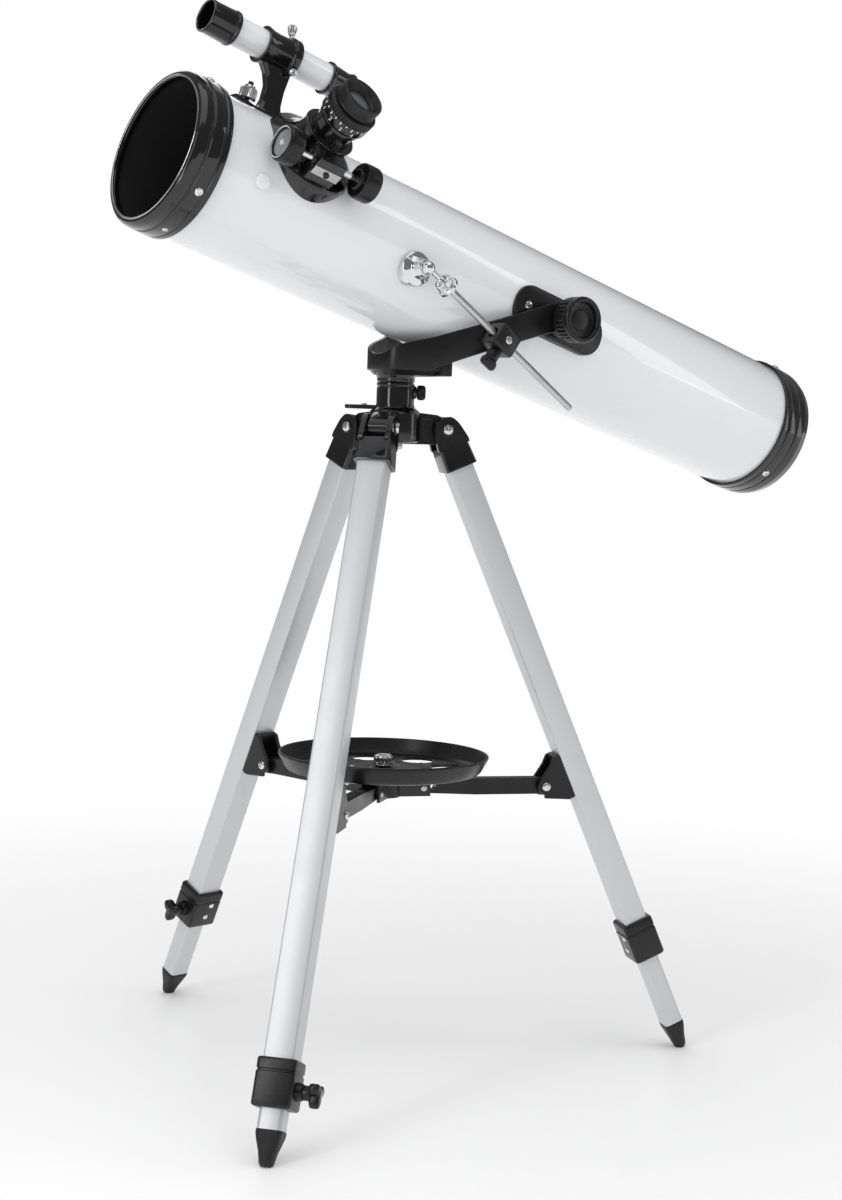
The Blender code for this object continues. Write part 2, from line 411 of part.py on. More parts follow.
# ---------------------------------------------------------------- legs
W2, D2 = LEG_WIDTH / MM / 2, LEG_DEPTH / MM / 2
WALL = LEG_WALL / MM
for n, az in enumerate(LEG_AZIMUTHS, 1):
    L = leg_frame(az)
    cs = LEG_SLEEVE_START[n - 1]
    # clevis and sleeve; the pivot pin is one piece with it
    ear = [(-10.0, -4.0), (-7.5, -9.0), (0.0, -11.0), (7.5, -9.0), (11.5, -2.0), (14.6, 12.0), (14.6, 16.0), (-14.6, 16.0), (-12.6, 4.0)]
    earF = L @ Matrix(((0, 0, 1, 0), (1, 0, 0, 0), (0, 1, 0, 0), (0, 0, 0, 1)))     # polygon x -> leg Y, y -> leg Z
    sleeve = loft([[(x, y, 14.0) for x, y in round_poly(13.6, 13.2, 3.0, 2)], [(x, y, 34.0) for x, y in round_poly(15.2, 13.9, 3.0, 2)]], L)
    part("leg_%d_bracket" % n, sleeve, "black_gloss",
         add=[prism(ear, 9.0, 13.6, earF), prism(ear, -13.6, -9.0, earF), rod(3.0, -13.0, 13.0, L @ aim((0, 0, 0), (1, 0, 0)), 24)],
         cut=[block(-W2 - 0.3, W2 + 0.3, -D2 - 0.3, D2 + 0.3, 19.7, 50.0, L)])
    # upper leg extrusion
    part("leg_%d_upper" % n, block(-W2, W2, -D2, D2, 20.0, cs + 30.0, L, 0.8), "aluminium",
         cut=[block(-W2 + WALL, W2 - WALL, -D2 + WALL, D2 - WALL, 0.0, 600.0, L)])
    # lower leg
    lw, ld = W2 - WALL - 0.3, D2 - WALL - 0.3
    part("leg_%d_lower" % n, loft([[(x, y, z) for x, y in round_poly(lw, ld, 3.4, 2)] for z in (300.0, LEG_LEN - 26.0)], L), "aluminium",
         cut=[loft([[(x, y, z) for x, y in round_poly(lw - 1.4, ld - 1.4, 2.0, 2)] for z in (290.0, LEG_LEN - 12.0)], L)])
    tip = LEG_LEN
    part("leg_%d_foot" % n, loft([[(x, y, z) for x, y in round_poly(a, b, c, 2)] for a, b, c, z in
                                  ((lw - 1.7, ld - 1.7, 1.7, tip - 38.0), (lw - 1.7, ld - 1.7, 1.7, tip - 25.7), (lw + 0.4, ld + 0.4, 3.6, tip - 25.7),
                                   (lw + 0.2, ld + 0.2, 3.8, tip - 23.0), (6.6, 6.0, 4.2, tip - 8.5), (5.6, 5.2, 4.2, tip - 4.0), (3.9, 3.5, 3.0, tip - 1.6))], L), "rubber",
         cut=[block(-400, 400, -400, 400, -40.0, FLOOR_CUT / MM)])
    # height clamp with its thumbscrew on the tangential side
    cw, cd = W2 + 3.4, D2 + 3.4
    part("leg_%d_clamp" % n, loft([[(x, y, cs) for x, y in round_poly(cw - 0.8, cd - 0.8, 2.4, 2)], [(x, y, cs + 1.6) for x, y in round_poly(cw, cd, 2.8, 2)],
                                   [(x, y, cs + 34.0) for x, y in round_poly(cw, cd, 2.8, 2)], [(x, y, cs + 36.0) for x, y in round_poly(cw - 1.2, cd - 1.2, 2.4, 2)]], L),
         "black_satin",
         add=[rod(6.5, cw - 1.0, cw + 5.0, L @ aim((0, 0, cs + 22.0), (1, 0, 0)), 20)],
         cut=[block(-W2 - 0.3, W2 + 0.3, -D2 - 0.3, D2 + 0.3, cs - 5.0, cs + 31.0, L),
              block(-lw - 0.3, lw + 0.3, -ld - 0.3, ld + 0.3, cs + 20.0, cs + 60.0, L),
              rod(2.57, W2 + 0.6, cw + 8.0, L @ aim((0, 0, cs + 22.0), (1, 0, 0)), 16)])
    TS = L @ aim((0, 0, cs + 22.0), (1, 0, 0), (0, 0, 1))
    lobes = []
    for k in range(48):
        a = 2 * math.pi * k / 48
        lobes.append(7.4 + 3.2 * math.cos(3 * a))
    lob = [(lobes[k] * math.cos(2 * math.pi * k / 48), lobes[k] * math.sin(2 * math.pi * k / 48)) for k in range(0, 48, 4)]
    part("leg_%d_thumbscrew" % n, lathe([(0, W2 + 0.9), (2.5, W2 + 0.9), (2.5, cw + 6.0), (5.4, cw + 6.0), (5.4, cw + 12.0), (0, cw + 12.0)], TS, 16), "black_satin",
         add=[loft([[(x * s, y * s, cw + h) for x, y in lob] for s, h in ((0.86, 10.2), (1.0, 11.6), (1.0, 18.0))], TS)])
    # brace bracket on the inner face
    bs, bo = 318.0, -(D2 + 21.0)
    pts = [(-D2 - 0.3, 297.0), (-D2 - 0.3, 337.0), (-D2 - 6.0, 337.0), (-D2 - 26.0, 327.0)] + \
          [(bo + 7.5 * math.cos(math.radians(a)), bs + 7.5 * math.sin(math.radians(a))) for a in (120, 150, 180, 210, 240)] + \
          [(-D2 - 12.0, 303.0), (-D2 - 6.0, 297.0)]
    bb = prism(pts, -11.5, 11.5, earF)
    part("leg_%d_brace_bracket" % n, bb, "black_satin",
         cut=[block(-7.9, 7.9, -D2 - 50.0, -D2 - 4.5, 280.0, 350.0, L)],
         add=[])
    # brace: U section, open below
    B = azimuth_frame(az)
    bx = PR + 318.0 * math.sin(LEAN) + bo * math.cos(LEAN)
    bz = PZ - 318.0 * math.cos(LEAN) + bo * math.sin(LEAN)
    sideF = B @ Matrix(((1, 0, 0, 0), (0, 0, -1, 0), (0, 1, 0, 0), (0, 0, 0, 1)))
    inner = bx - 108.5 - 6.4
    outl = [(bx + 7.0 * math.cos(math.radians(a)), bz + 7.0 * math.sin(math.radians(a))) for a in (-90, -60, -30, 0, 30, 60, 90)] + \
           [(bx - 62.0, bz + 7.0), (inner + 3.0, bz + 5.0), (inner, bz + 3.0), (inner, bz - 3.0), (inner + 3.0, bz - 5.0), (bx - 62.0, bz - 7.0)]
    slot = round_poly((8.2 + 6.0) / 2 + 0.2, 3.0, 2.9, 4)
    sc = bx - (100.3 + 108.5) / 2
    part("leg_%d_brace" % n, prism(outl, -6.0, 6.0, sideF), "black_satin",
         cut=[block(bx - 86.0, bx - 10.0, -4.4, 4.4, bz - 8.0, bz + 5.2, B), rod(2.57, -10.0, 10.0, B @ aim((bx, 0, bz), (0, 1, 0)), 20),
              prism([(x + sc, y + bz) for x, y in slot], -10.0, 10.0, sideF)])

# ---------------------------------------------------------------- spreader and tray
sp_adds, sp_cuts = [], []
for az in LEG_AZIMUTHS:
    B = azimuth_frame(az)
    sp_adds.append(block(8.0, 40.0, 6.4, 9.2, 231.5, 250.0, B, 0.0))
    sp_adds.append(block(8.0, 40.0, -9.2, -6.4, 231.5, 250.0, B, 0.0))
    sp_adds.append(rod(2.0, -8.0, 8.0, B @ aim((BRACE_INNER_RADIUS / MM, 0, BRACE_Z / MM), (0, 1, 0)), 16))
sp_cuts.append(rod(2.56, 225.0, 270.0, segs=16))
part("spreader_plate", lathe([(0, 231.0), (15.5, 231.0), (15.5, 249.5), (43.0, 249.5), (43.0, 252.2), (0, 252.2)], segs=36), "black_satin",
     add=sp_adds, cut=sp_cuts)
TR = TRAY_RADIUS / MM
tray_prof = [(0, 252.6), (78.0, 252.6), (83.0, 254.4), (TR, 265.2), (TR, 267.6), (TR - 2.0, 268.0), (TR - 3.4, 265.0),
             (80.6, 256.2), (77.4, 255.0), (34.5, 255.0), (33.5, 256.4), (0, 256.4)]
tray_cuts = [rod(15.5, 250.0, 260.0, aim((56.5 * math.cos(math.radians(22.5 + 45 * k)), 56.5 * math.sin(math.radians(22.5 + 45 * k)), 0), (0, 0, 1)), 16) for k in range(8)]
part("tray", lathe(tray_prof, segs=56), "black_satin", cut=tray_cuts + [rod(2.8, 250.0, 260.0, segs=20)])
part("tray_knob", lathe([(0, 236.0), (2.5, 236.0), (2.5, 256.7), (7.4, 256.7), (8.2, 257.5), (8.2, 265.0), (7.2, 266.2), (0, 266.2)], segs=24), "steel")
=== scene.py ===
"""Looks of the telescope on its tripod: pieces, materials, camera, floor and light around the frame.

Lengths are millimetres from the foot of the azimuth axis until place() puts a piece into the frame.
"""
import json
import math

import bmesh
import bpy
from mathutils import Matrix, Vector


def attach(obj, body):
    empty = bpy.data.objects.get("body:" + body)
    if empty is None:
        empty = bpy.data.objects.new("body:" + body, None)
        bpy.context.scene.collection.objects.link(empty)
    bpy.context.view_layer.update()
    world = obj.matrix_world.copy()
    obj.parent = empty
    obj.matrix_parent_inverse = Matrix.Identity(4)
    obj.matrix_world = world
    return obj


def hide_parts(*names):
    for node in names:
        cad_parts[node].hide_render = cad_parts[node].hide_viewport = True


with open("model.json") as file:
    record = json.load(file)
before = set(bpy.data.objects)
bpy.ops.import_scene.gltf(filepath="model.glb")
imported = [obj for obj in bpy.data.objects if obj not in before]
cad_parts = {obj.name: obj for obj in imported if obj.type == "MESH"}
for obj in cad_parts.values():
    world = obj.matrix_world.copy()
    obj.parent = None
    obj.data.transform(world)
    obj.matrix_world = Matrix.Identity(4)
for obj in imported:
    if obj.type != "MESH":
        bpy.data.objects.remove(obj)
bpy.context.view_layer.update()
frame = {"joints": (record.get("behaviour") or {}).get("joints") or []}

MM = 0.001
JOINT = {j["name"]: j for j in frame["joints"]}

# ---------------------------------------------------------------- driving dimensions
ALTITUDE_Z = 637.7                     # altitude axis above the ideal foot points
ELEVATION = math.radians(16.6)         # of the tube at rest
AXIS_LIFT = 4.8                        # tube axis above the altitude axis
TUBE_R = 60.0
TUBE_IN = 58.5
TUBE_FRONT = 370.0
TUBE_REAR = -305.0
FINDER_H = 113.0                       # finder axis above the tube axis
FOCUSER_ANGLE = math.radians(53.1)     # from the tube's top towards the near side
FOCUSER_ALONG = 270.0
AXLE = (28.0, 74.9)                    # focuser axle beside the drawtube's axis and out along it
PIER_R = 15.8
LEG_LEAN = math.radians(23.89)
LEG_HALF_W = 12.0
LEG_HALF_D = 10.5
LEG_WALL = 1.6
LEG_LENGTH = 593.2                     # pivot to the tip of the foot, legs drawn in
PIVOT_R = 43.0                         # leg pivots, out from the azimuth axis
PIVOT_Z = 542.4
BRACE_AT = 318.0                       # brace bolt, down the leg from its pivot
CLAMP_START = {1: 514.0, 2: 463.0, 3: 471.0}
BALL = (154.5, 78.0, -12.4)            # along, near, up from the altitude axis
ROD_CLAMP = (65.5, -41.4)              # along, up
ROD_LENGTH = 187.0
TRAY_R = 89.4
ROUND = 96                             # sides of a large round
WORN_EDGE = (0.25, 0.25, 0.26)


def joint_at(name):
    return Vector(JOINT[name]["pos_m"])


HOME = Vector((joint_at("azimuth").x, joint_at("azimuth").y, joint_at("altitude").z - ALTITUDE_Z * MM))


# ---------------------------------------------------------------- frames
def aim(origin, direction, side=(0, 0, 1)):
    """Frame with its Z along direction and its X as close to side as possible."""
    z = Vector(direction).normalized()
    s = Vector(side)
    if abs(s.normalized().dot(z)) > 0.99:
        s = Vector((1, 0, 0))
    x = (s - z * s.dot(z)).normalized()
    y = z.cross(x)
    m = Matrix((x, y, z)).transposed().to_4x4()
    m.translation = Vector(origin)
    return m


def shift(x=0.0, y=0.0, z=0.0):
    return Matrix.Translation((x, y, z))


def spin(degrees, axis="Z"):
    return Matrix.Rotation(math.radians(degrees), 4, axis)


ALT = (joint_at("altitude") - HOME) / MM
COS_E, SIN_E = math.cos(ELEVATION), math.sin(ELEVATION)
AXF = Matrix((                         # X along the tube, Y to the near side, Z up out of the tube
    (-COS_E, 0.0, SIN_E, ALT.x),
    (0.0, -1.0, 0.0, ALT.y),
    (SIN_E, 0.0, COS_E, ALT.z),
    (0.0, 0.0, 0.0, 1.0)))
TUBE = AXF @ shift(z=AXIS_LIFT)
ALONG = aim((0, 0, 0), (1, 0, 0), (0, 0, 1))
BORE = TUBE @ ALONG                    # Z along the tube, X out of its top, Y to the far side
FOC = TUBE @ aim((FOCUSER_ALONG, 0, 0), (0, math.sin(FOCUSER_ANGLE), math.cos(FOCUSER_ANGLE)), (1, 0, 0))
FIN = TUBE @ shift(z=FINDER_H) @ ALONG
SOCKET = AXF @ aim((BALL[0], 0, BALL[2]), (0, 1, 0))
ROD_DIR = Vector((ROD_CLAMP[0] - BALL[0], 0, ROD_CLAMP[1] - BALL[2])).normalized()
ROD = AXF @ aim(BALL, ROD_DIR, (0, 1, 0))
CLAMP = AXF @ aim((ROD_CLAMP[0], BALL[1], ROD_CLAMP[1]), ROD_DIR, (0, 1, 0))
WORLD = Matrix.Identity(4)
OTA = "optical_tube"                   # the body of everything fixed to the tube
UPRIGHT = Matrix(((1, 0, 0, 0), (0, 0, -1, 0), (0, 1, 0, 0), (0, 0, 0, 1)))      # outline y -> Z
SIDEWAYS = Matrix(((0, 0, 1, 0), (1, 0, 0, 0), (0, 1, 0, 0), (0, 0, 0, 1)))      # outline x -> Y, y -> Z


def polar(r, degrees):
    a = math.radians(degrees)
    return r * math.cos(a), r * math.sin(a)


def arc(cx, cy, r, angles):
    return [(cx + x, cy + y) for x, y in (polar(r, a) for a in angles)]


def leg_azimuth(n):
    d = joint_at("leg_%d_fold" % n) - HOME
    return math.degrees(math.atan2(d.y, d.x))


def leg_frame(n):
    """Origin on the leg's pivot, X tangential, Y out of the leg's face, Z down the leg."""
    d = (joint_at("leg_%d_fold" % n) - HOME) / MM
    s, c = math.sin(LEG_LEAN), math.cos(LEG_LEAN)
    m = Matrix(((0, c, s, math.hypot(d.x, d.y)), (1, 0, 0, 0), (0, s, -c, d.z), (0, 0, 0, 1)))
    return spin(leg_azimuth(n)) @ m


# ---------------------------------------------------------------- materials
def socket(bsdf, name, value):
    bsdf.inputs[name].default_value = value


def remap(tree, source, low, high, to_low, to_high):
    r = tree.nodes.new("ShaderNodeMapRange")
    for key, v in (("From Min", low), ("From Max", high), ("To Min", to_low), ("To Max", to_high)):
        r.inputs[key].default_value = v
    tree.links.new(source, r.inputs["Value"])
    return r.outputs["Result"]


def look(name, color, rough, metallic=0.0, coat=0.0, grain=900.0, bump=0.03, stretch=(1, 1, 1),
         tint=0.10, spread=0.06, wear=0.0, specular=0.5, anisotropy=0.0):
    """Principled finish with drifting colour and roughness, a fine surface grain and lighter worn edges."""
    m = bpy.data.materials.new(name)
    m.use_nodes = True
    t = m.node_tree
    b = t.nodes["Principled BSDF"]
    socket(b, "Metallic", metallic)
    socket(b, "Coat Weight", coat)
    socket(b, "Coat Roughness", 0.03)
    socket(b, "Specular IOR Level", specular)
    socket(b, "Anisotropic", anisotropy)
    where = t.nodes.new("ShaderNodeTexCoord")

    def noise(scale, detail, source):
        n = t.nodes.new("ShaderNodeTexNoise")
        n.inputs["Scale"].default_value = scale
        n.inputs["Detail"].default_value = detail
        t.links.new(source, n.inputs["Vector"])
        return n.outputs["Fac"]

    def mixed(factor, first, second):
        x = t.nodes.new("ShaderNodeMix")
        x.data_type = "RGBA"
        t.links.new(factor, x.inputs["Factor"])
        for key, v in (("A", first), ("B", second)):
            plug = [i for i in x.inputs if i.name == key and i.type == "RGBA"][0]
            if isinstance(v, tuple):
                plug.default_value = (*v, 1.0)
            else:
                t.links.new(v, plug)
        return [o for o in x.outputs if o.type == "RGBA"][0]

    obj = where.outputs["Object"]
    drift = remap(t, noise(9.0, 4.0, obj), 0.3, 0.7, 0.0, 1.0)
    dark = tuple(c * (1 - tint) for c in color)
    light = tuple(min(1.0, c * (1 + tint)) for c in color)
    shade = mixed(drift, dark, light)
    if wear > 0:
        geo = t.nodes.new("ShaderNodeNewGeometry")
        edge = remap(t, geo.outputs["Pointiness"], 0.53, 0.66, 0.0, wear)
        shade = mixed(edge, shade, WORN_EDGE)
    t.links.new(shade, b.inputs["Base Color"])
    smear = noise(46.0, 5.0, obj)
    t.links.new(remap(t, smear, 0.3, 0.7, max(0.02, rough - spread), rough + spread), b.inputs["Roughness"])
    tilt = t.nodes.new("ShaderNodeMapping")
    tilt.inputs["Scale"].default_value = stretch
    t.links.new(obj, tilt.inputs["Vector"])
    height = t.nodes.new("ShaderNodeBump")
    height.inputs["Strength"].default_value = bump
    height.inputs["Distance"].default_value = 0.0004
    t.links.new(noise(grain, 3.0, tilt.outputs["Vector"]), height.inputs["Height"])
    t.links.new(height.outputs["Normal"], b.inputs["Normal"])
    return m


LOOK = {
    "white": (look("tube_paint", (0.74, 0.75, 0.775), 0.20, coat=1.0, grain=260, bump=0.006, tint=0.015,
                   spread=0.02), "white_tube_paint"),
    "gloss": (look("gloss_plastic", (0.004, 0.004, 0.0045), 0.15, coat=0.4, grain=420, bump=0.015, tint=0.2,
                   wear=0.06), "black_gloss_plastic"),
    "satin": (look("satin_plastic", (0.006, 0.006, 0.0065), 0.30, grain=2600, bump=0.08, tint=0.2,
                   wear=0.08, specular=0.4), "black_satin_plastic"),
    "metal": (look("black_metal", (0.006, 0.006, 0.0065), 0.25, metallic=0.2, coat=0.3, grain=1500, bump=0.05,
                   tint=0.2, wear=0.2), "black_painted_metal"),
    "legs": (look("brushed_aluminium", (0.60, 0.605, 0.625), 0.34, metallic=0.50, grain=1800, bump=0.04,
                  stretch=(1, 1, 0.012), tint=0.015, spread=0.015, anisotropy=0.3), "anodised_aluminium"),
    "chrome": (look("chrome", (0.74, 0.74, 0.75), 0.12, metallic=1.0, grain=700, bump=0.02, tint=0.05,
                    spread=0.05), "chrome_fittings"),
    "steel": (look("steel", (0.60, 0.60, 0.61), 0.26, metallic=1.0, grain=1600, bump=0.06, tint=0.08,
                   spread=0.08), "steel_fittings"),
    "rubber": (look("rubber", (0.009, 0.009, 0.0095), 0.46, grain=1900, bump=0.14, tint=0.25, wear=0.05,
                    specular=0.4),
               "foot_rubber"),
    "mirror": (look("mirror", (0.86, 0.88, 0.91), 0.03, metallic=1.0, grain=300, bump=0.002, tint=0.01,
                    spread=0.01), "mirror_coating"),
    "glass": (look("coated_glass", (0.075, 0.082, 0.095), 0.05, coat=1.0, grain=200, bump=0.002, tint=0.1,
                   spread=0.02, specular=0.9), "mirror_coating"),
    "inside": (look("flocked_inside", (0.012, 0.012, 0.012), 0.75, grain=1400, bump=0.3, tint=0.3,
                    specular=0.2), "black_satin_plastic"),
    "mark": (look("scale_marks", (0.78, 0.78, 0.77), 0.4, grain=2000, bump=0.05, tint=0.04),
             "white_tube_paint"),
    "grey": (look("grey_insert", (0.28, 0.285, 0.29), 0.3, metallic=0.6, grain=1800, bump=0.05, tint=0.06),
             "steel_fittings"),
}


# ---------------------------------------------------------------- shapes, in millimetres
def mesh(verts, faces):
    bm = bmesh.new()
    made = [bm.verts.new(v) for v in verts]
    for f in faces:
        bm.faces.new([made[i] for i in f])
    bmesh.ops.recalc_face_normals(bm, faces=bm.faces)
    return bm


def moved(bm, matrix):
    bmesh.ops.transform(bm, matrix=matrix, verts=bm.verts)
    return bm


def softened(outline, radius, steps=3):
    """The outline with its corners turned into short arcs; points on the axis (x = 0) stay."""
    out = []
    n = len(outline)
    for i, p in enumerate(outline):
        if abs(p[0]) < 1e-6:
            out.append(p)
            continue
        p = Vector(p[:2])
        a = Vector(outline[i - 1][:2]) - p
        b = Vector(outline[(i + 1) % n][:2]) - p
        if a.length < 1e-6 or b.length < 1e-6 or math.degrees(a.angle(-b)) < 14:
            out.append(tuple(p))
            continue
        r = min(radius, 0.42 * a.length, 0.42 * b.length)
        s, e = p + a.normalized() * r, p + b.normalized() * r
        for k in range(steps + 1):
            t = k / steps
            out.append(tuple((1 - t) ** 2 * s + 2 * t * (1 - t) * p + t * t * e))
    return out


def turned(outline, radius=0.5, sides=ROUND, ribs=0, depth=0.0, band=(0.0, 0.0), sharp=1.0):
    """Outline of (radius, height) turned about Z, with ribs of that depth inside the band of heights."""
    outline = softened(outline, radius) if radius else outline
    if ribs:
        sides = ribs * 6
    verts, faces, rings = [], [], []
    for r, z in outline:
        ribbed = ribs and band[0] <= z <= band[1] and r > depth * 4
        if r < 1e-6:
            rings.append([len(verts)])
            verts.append((0, 0, z))
            continue
        ids = []
        for k in range(sides):
            a = 2 * math.pi * k / sides
            wave = (0.5 - 0.5 * math.cos(ribs * a)) ** sharp if ribbed else 0.0
            q = r - depth * wave
            ids.append(len(verts))
            verts.append((q * math.cos(a), q * math.sin(a), z))
        rings.append(ids)
    n = len(rings)
    for i in range(n):
        a, b = rings[i], rings[(i + 1) % n]
        if len(a) == 1 and len(b) == 1:
            continue
        for k in range(sides):
            m = (k + 1) % sides
            if len(a) == 1:
                faces.append((a[0], b[k], b[m]))
            elif len(b) == 1:
                faces.append((a[k], b[0], a[m]))
            else:
                faces.append((a[k], b[k], b[m], a[m]))
    return mesh(verts, faces)


def bar(r, z0, z1, edge=0.4, sides=32):
    return turned([(0, z0), (r, z0), (r, z1), (0, z1)], edge, sides)


def skin(rings):
    """Rings of equally many points joined in order, with flat ends."""
    n = len(rings[0])
    verts = [tuple(p) for ring in rings for p in ring]
    faces = [tuple(range(n - 1, -1, -1)), tuple(range((len(rings) - 1) * n, len(rings) * n))]
    for i in range(len(rings) - 1):
        for k in range(n):
            m = (k + 1) % n
            faces.append((i * n + k, i * n + m, (i + 1) * n + m, (i + 1) * n + k))
    return mesh(verts, faces)


def prism(outline, z0, z1):
    return skin([[(x, y, z0) for x, y in outline], [(x, y, z1) for x, y in outline]])


def slab(x0, x1, y0, y1, z0, z1):
    return prism([(x0, y0), (x1, y0), (x1, y1), (x0, y1)], z0, z1)


def round_box(w, h, r, n=5):
    """Rounded rectangle, half sizes w and h, corner radius r."""
    points = []
    for cx, cy, start in ((w - r, h - r, 0), (r - w, h - r, 90), (r - w, r - h, 180), (w - r, r - h, 270)):
        for k in range(n + 1):
            a = math.radians(start + 90 * k / n)
            points.append((cx + r * math.cos(a), cy + r * math.sin(a)))
    return points


def lofted(sections, n=5):
    """Rounded boxes (half width, half height, corner radius, z) joined in order."""
    return skin([[(x, y, z) for x, y in round_box(w, h, r, n)] for w, h, r, z in sections])


def hollow(outer, inner, z0, z1):
    """A straight section with an outer and an inner outline of equally many points."""
    n = len(outer)
    loops = [(outer, z0), (outer, z1), (inner, z1), (inner, z0)]
    verts = [(x, y, z) for outline, z in loops for x, y in outline]
    faces = []
    for i in range(4):
        j = (i + 1) % 4
        for k in range(n):
            m = (k + 1) % n
            faces.append((i * n + k, i * n + m, j * n + m, j * n + k))
    return mesh(verts, faces)


def joined(*parts):
    out = bmesh.new()
    for b in parts:
        me = bpy.data.meshes.new("part")
        b.to_mesh(me)
        b.free()
        out.from_mesh(me)
        bpy.data.meshes.remove(me)
    return out


def carved(base, cuts):
    """The base with closed cutters taken out of it."""
    def loose(bm):
        me = bpy.data.meshes.new("loose")
        bm.to_mesh(me)
        bm.free()
        o = bpy.data.objects.new("loose", me)
        bpy.context.scene.collection.objects.link(o)
        return o
    body = loose(base)
    others = [loose(bm) for bm in cuts]
    for o in others:
        m = body.modifiers.new("step", "BOOLEAN")
        m.operation, m.solver, m.object = "DIFFERENCE", "EXACT", o
    bpy.context.view_layer.update()
    evaluated = body.evaluated_get(bpy.context.evaluated_depsgraph_get())
    out = bmesh.new()
    out.from_mesh(evaluated.to_mesh())
    evaluated.to_mesh_clear()
    for o in [body, *others]:
        me = o.data
        bpy.data.objects.remove(o, do_unlink=True)
        bpy.data.meshes.remove(me)
    bmesh.ops.remove_doubles(out, verts=out.verts, dist=0.01)
    return out


# ---------------------------------------------------------------- pieces
def place(m):
    """A frame in millimetres from the azimuth axis, in metres in the row frame."""
    out = m.copy()
    out.translation = HOME + m.translation * MM
    return out


def piece(name, bm, finish, body, at=WORLD, swaps=(), bevel=0.0, sharp=32.0, inner=None):
    """A finished piece riding on a body. inner = (finish, test of a face's centre in millimetres)."""
    if inner:
        bm.faces.ensure_lookup_table()
        for f in bm.faces:
            f.material_index = 1 if inner[1](f.calc_center_median()) else 0
    bmesh.ops.scale(bm, vec=(MM, MM, MM), verts=bm.verts)
    me = bpy.data.meshes.new(name)
    bm.to_mesh(me)
    bm.free()
    me.materials.append(LOOK[finish][0])
    if inner:
        me.materials.append(LOOK[inner[0]][0])
    me.shade_smooth()
    me.set_sharp_from_angle(angle=math.radians(sharp))
    o = bpy.data.objects.new(name, me)
    bpy.context.scene.collection.objects.link(o)
    o.matrix_world = place(at)
    if bevel:
        m = o.modifiers.new("edges", "BEVEL")
        m.width = bevel * MM
        m.segments = 3
        m.limit_method = "ANGLE"
        m.angle_limit = math.radians(34)
        m.harden_normals = True
        m.use_clamp_overlap = True
    if swaps:
        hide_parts(*swaps)
    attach(o, body)
    return o


def cross_head(r, h):
    """Domed screw head with a cross recess, standing on z = 0."""
    dome = [(0, -0.6), (r * 0.86, -0.6), (r, 0.0), (r, h * 0.28), (r * 0.86, h * 0.68), (r * 0.52, h * 0.94),
            (0, h)]
    arm, half = r * 0.56, r * 0.13
    depth = 0.37 * h
    cuts = [slab(-arm, arm, -half, half, depth, h + 1), slab(-half, half, -arm, arm, depth, h + 1)]
    return carved(turned(dome, r * 0.08, 28), cuts)


def screw(name, at, r, h, body, finish="chrome", turn=20.0):
    return piece(name, cross_head(r, h), finish, body, at @ spin(turn), sharp=40)


def radial(along, angle, out):
    """Frame on the tube's side: Z out of it, at an angle in degrees from its top towards the near side."""
    a = math.radians(angle)
    d = (0, math.sin(a), math.cos(a))
    return TUBE @ aim((along, d[1] * out, d[2] * out), d, (1, 0, 0))


# ---------------------------------------------------------------- tripod head and azimuth knob
def tripod_head():
    hub = [(0, 530.4), (20, 530.4), (22, 532.4), (22, 554.4), (20, 556.9), (16.7, 559.4), (PIER_R, 562.7),
           (PIER_R, 575.6), (15.2, 576.2), (15.2, 577), (PIER_R, 577.6), (PIER_R, 579.7), (15.2, 580.2),
           (0, 580.2)]
    piece("hub_and_pier", turned(hub, 0.8), "gloss", "tripod_head", swaps=["tripod_head"])
    piece("hub_underside_nut", turned([(0, 524.6), (6.6, 524.6), (8, 526), (8, 530.6), (0, 530.6)], 0.6, 6),
          "steel", "tripod_head", bevel=0.4)
    top = PIVOT_Z
    ear = arc(PIVOT_R, top - 1.5, 9, range(-80, 81, 16))
    outline = [(6, top - 13), (PIVOT_R - 4, top - 13), *ear, (PIVOT_R - 8, top + 12), (6, top + 14.5)]
    for n in (1, 2, 3):
        at = spin(leg_azimuth(n)) @ UPRIGHT
        pockets = [slab(22, 33, top - 9.5, top + 8, z0, z1) for z0, z1 in ((-12, -6.6), (6.6, 12))]
        piece("hub_arm_%d" % n, carved(prism(outline, -8.6, 8.6), pockets), "gloss", "tripod_head", at,
              bevel=0.8)
    lever = softened([(14, -6), (38, -6), (42, -3), (42, 3), (38, 6), (14, 6)], 2.5)
    piece("pan_lock_lever", prism(lever, 557.6, 561), "metal", "tripod_head", spin(143), bevel=0.6)
    piece("pan_lock_rivet", cross_head(2.4, 1.4), "steel", "tripod_head", spin(143) @ shift(26, 0, 561))
    knob = aim((0, 0, 572.5), (*polar(1, -30), 0))
    stem = [(0, 14), (2.5, 14), (2.5, 18.2), (5, 18.2), (6, 19), (6.2, 20), (6.2, 23.4), (5.2, 25),
            (3, 25), (2.6, 24.4), (0, 24.4)]
    piece("azimuth_knob_grip", turned(stem, 0.4, ribs=18, depth=0.7, band=(19.4, 24)), "satin",
          "azimuth_knob",
          knob, swaps=["azimuth_knob"])
    piece("azimuth_knob_boss", turned([(2.7, 14.4), (5.6, 14.4), (5.2, 17.4), (2.7, 17.4)], 0.4, 32), "gloss",
          "tripod_head", knob)


# ---------------------------------------------------------------- fork
def smooth_line(points, steps):
    """Catmull-Rom line through the points."""
    out = []
    for i in range(len(points) - 1):
        a, b = Vector(points[max(i - 1, 0)]), Vector(points[i])
        c, d = Vector(points[i + 1]), Vector(points[min(i + 2, len(points) - 1)])
        for k in range(steps):
            t = k / steps
            out.append(0.5 * (2 * b + (c - a) * t + (2 * a - 5 * b + 4 * c - d) * t ** 2
                              + (3 * b - a - 3 * c + d) * t ** 3))
    out.append(Vector(points[-1]))
    return out


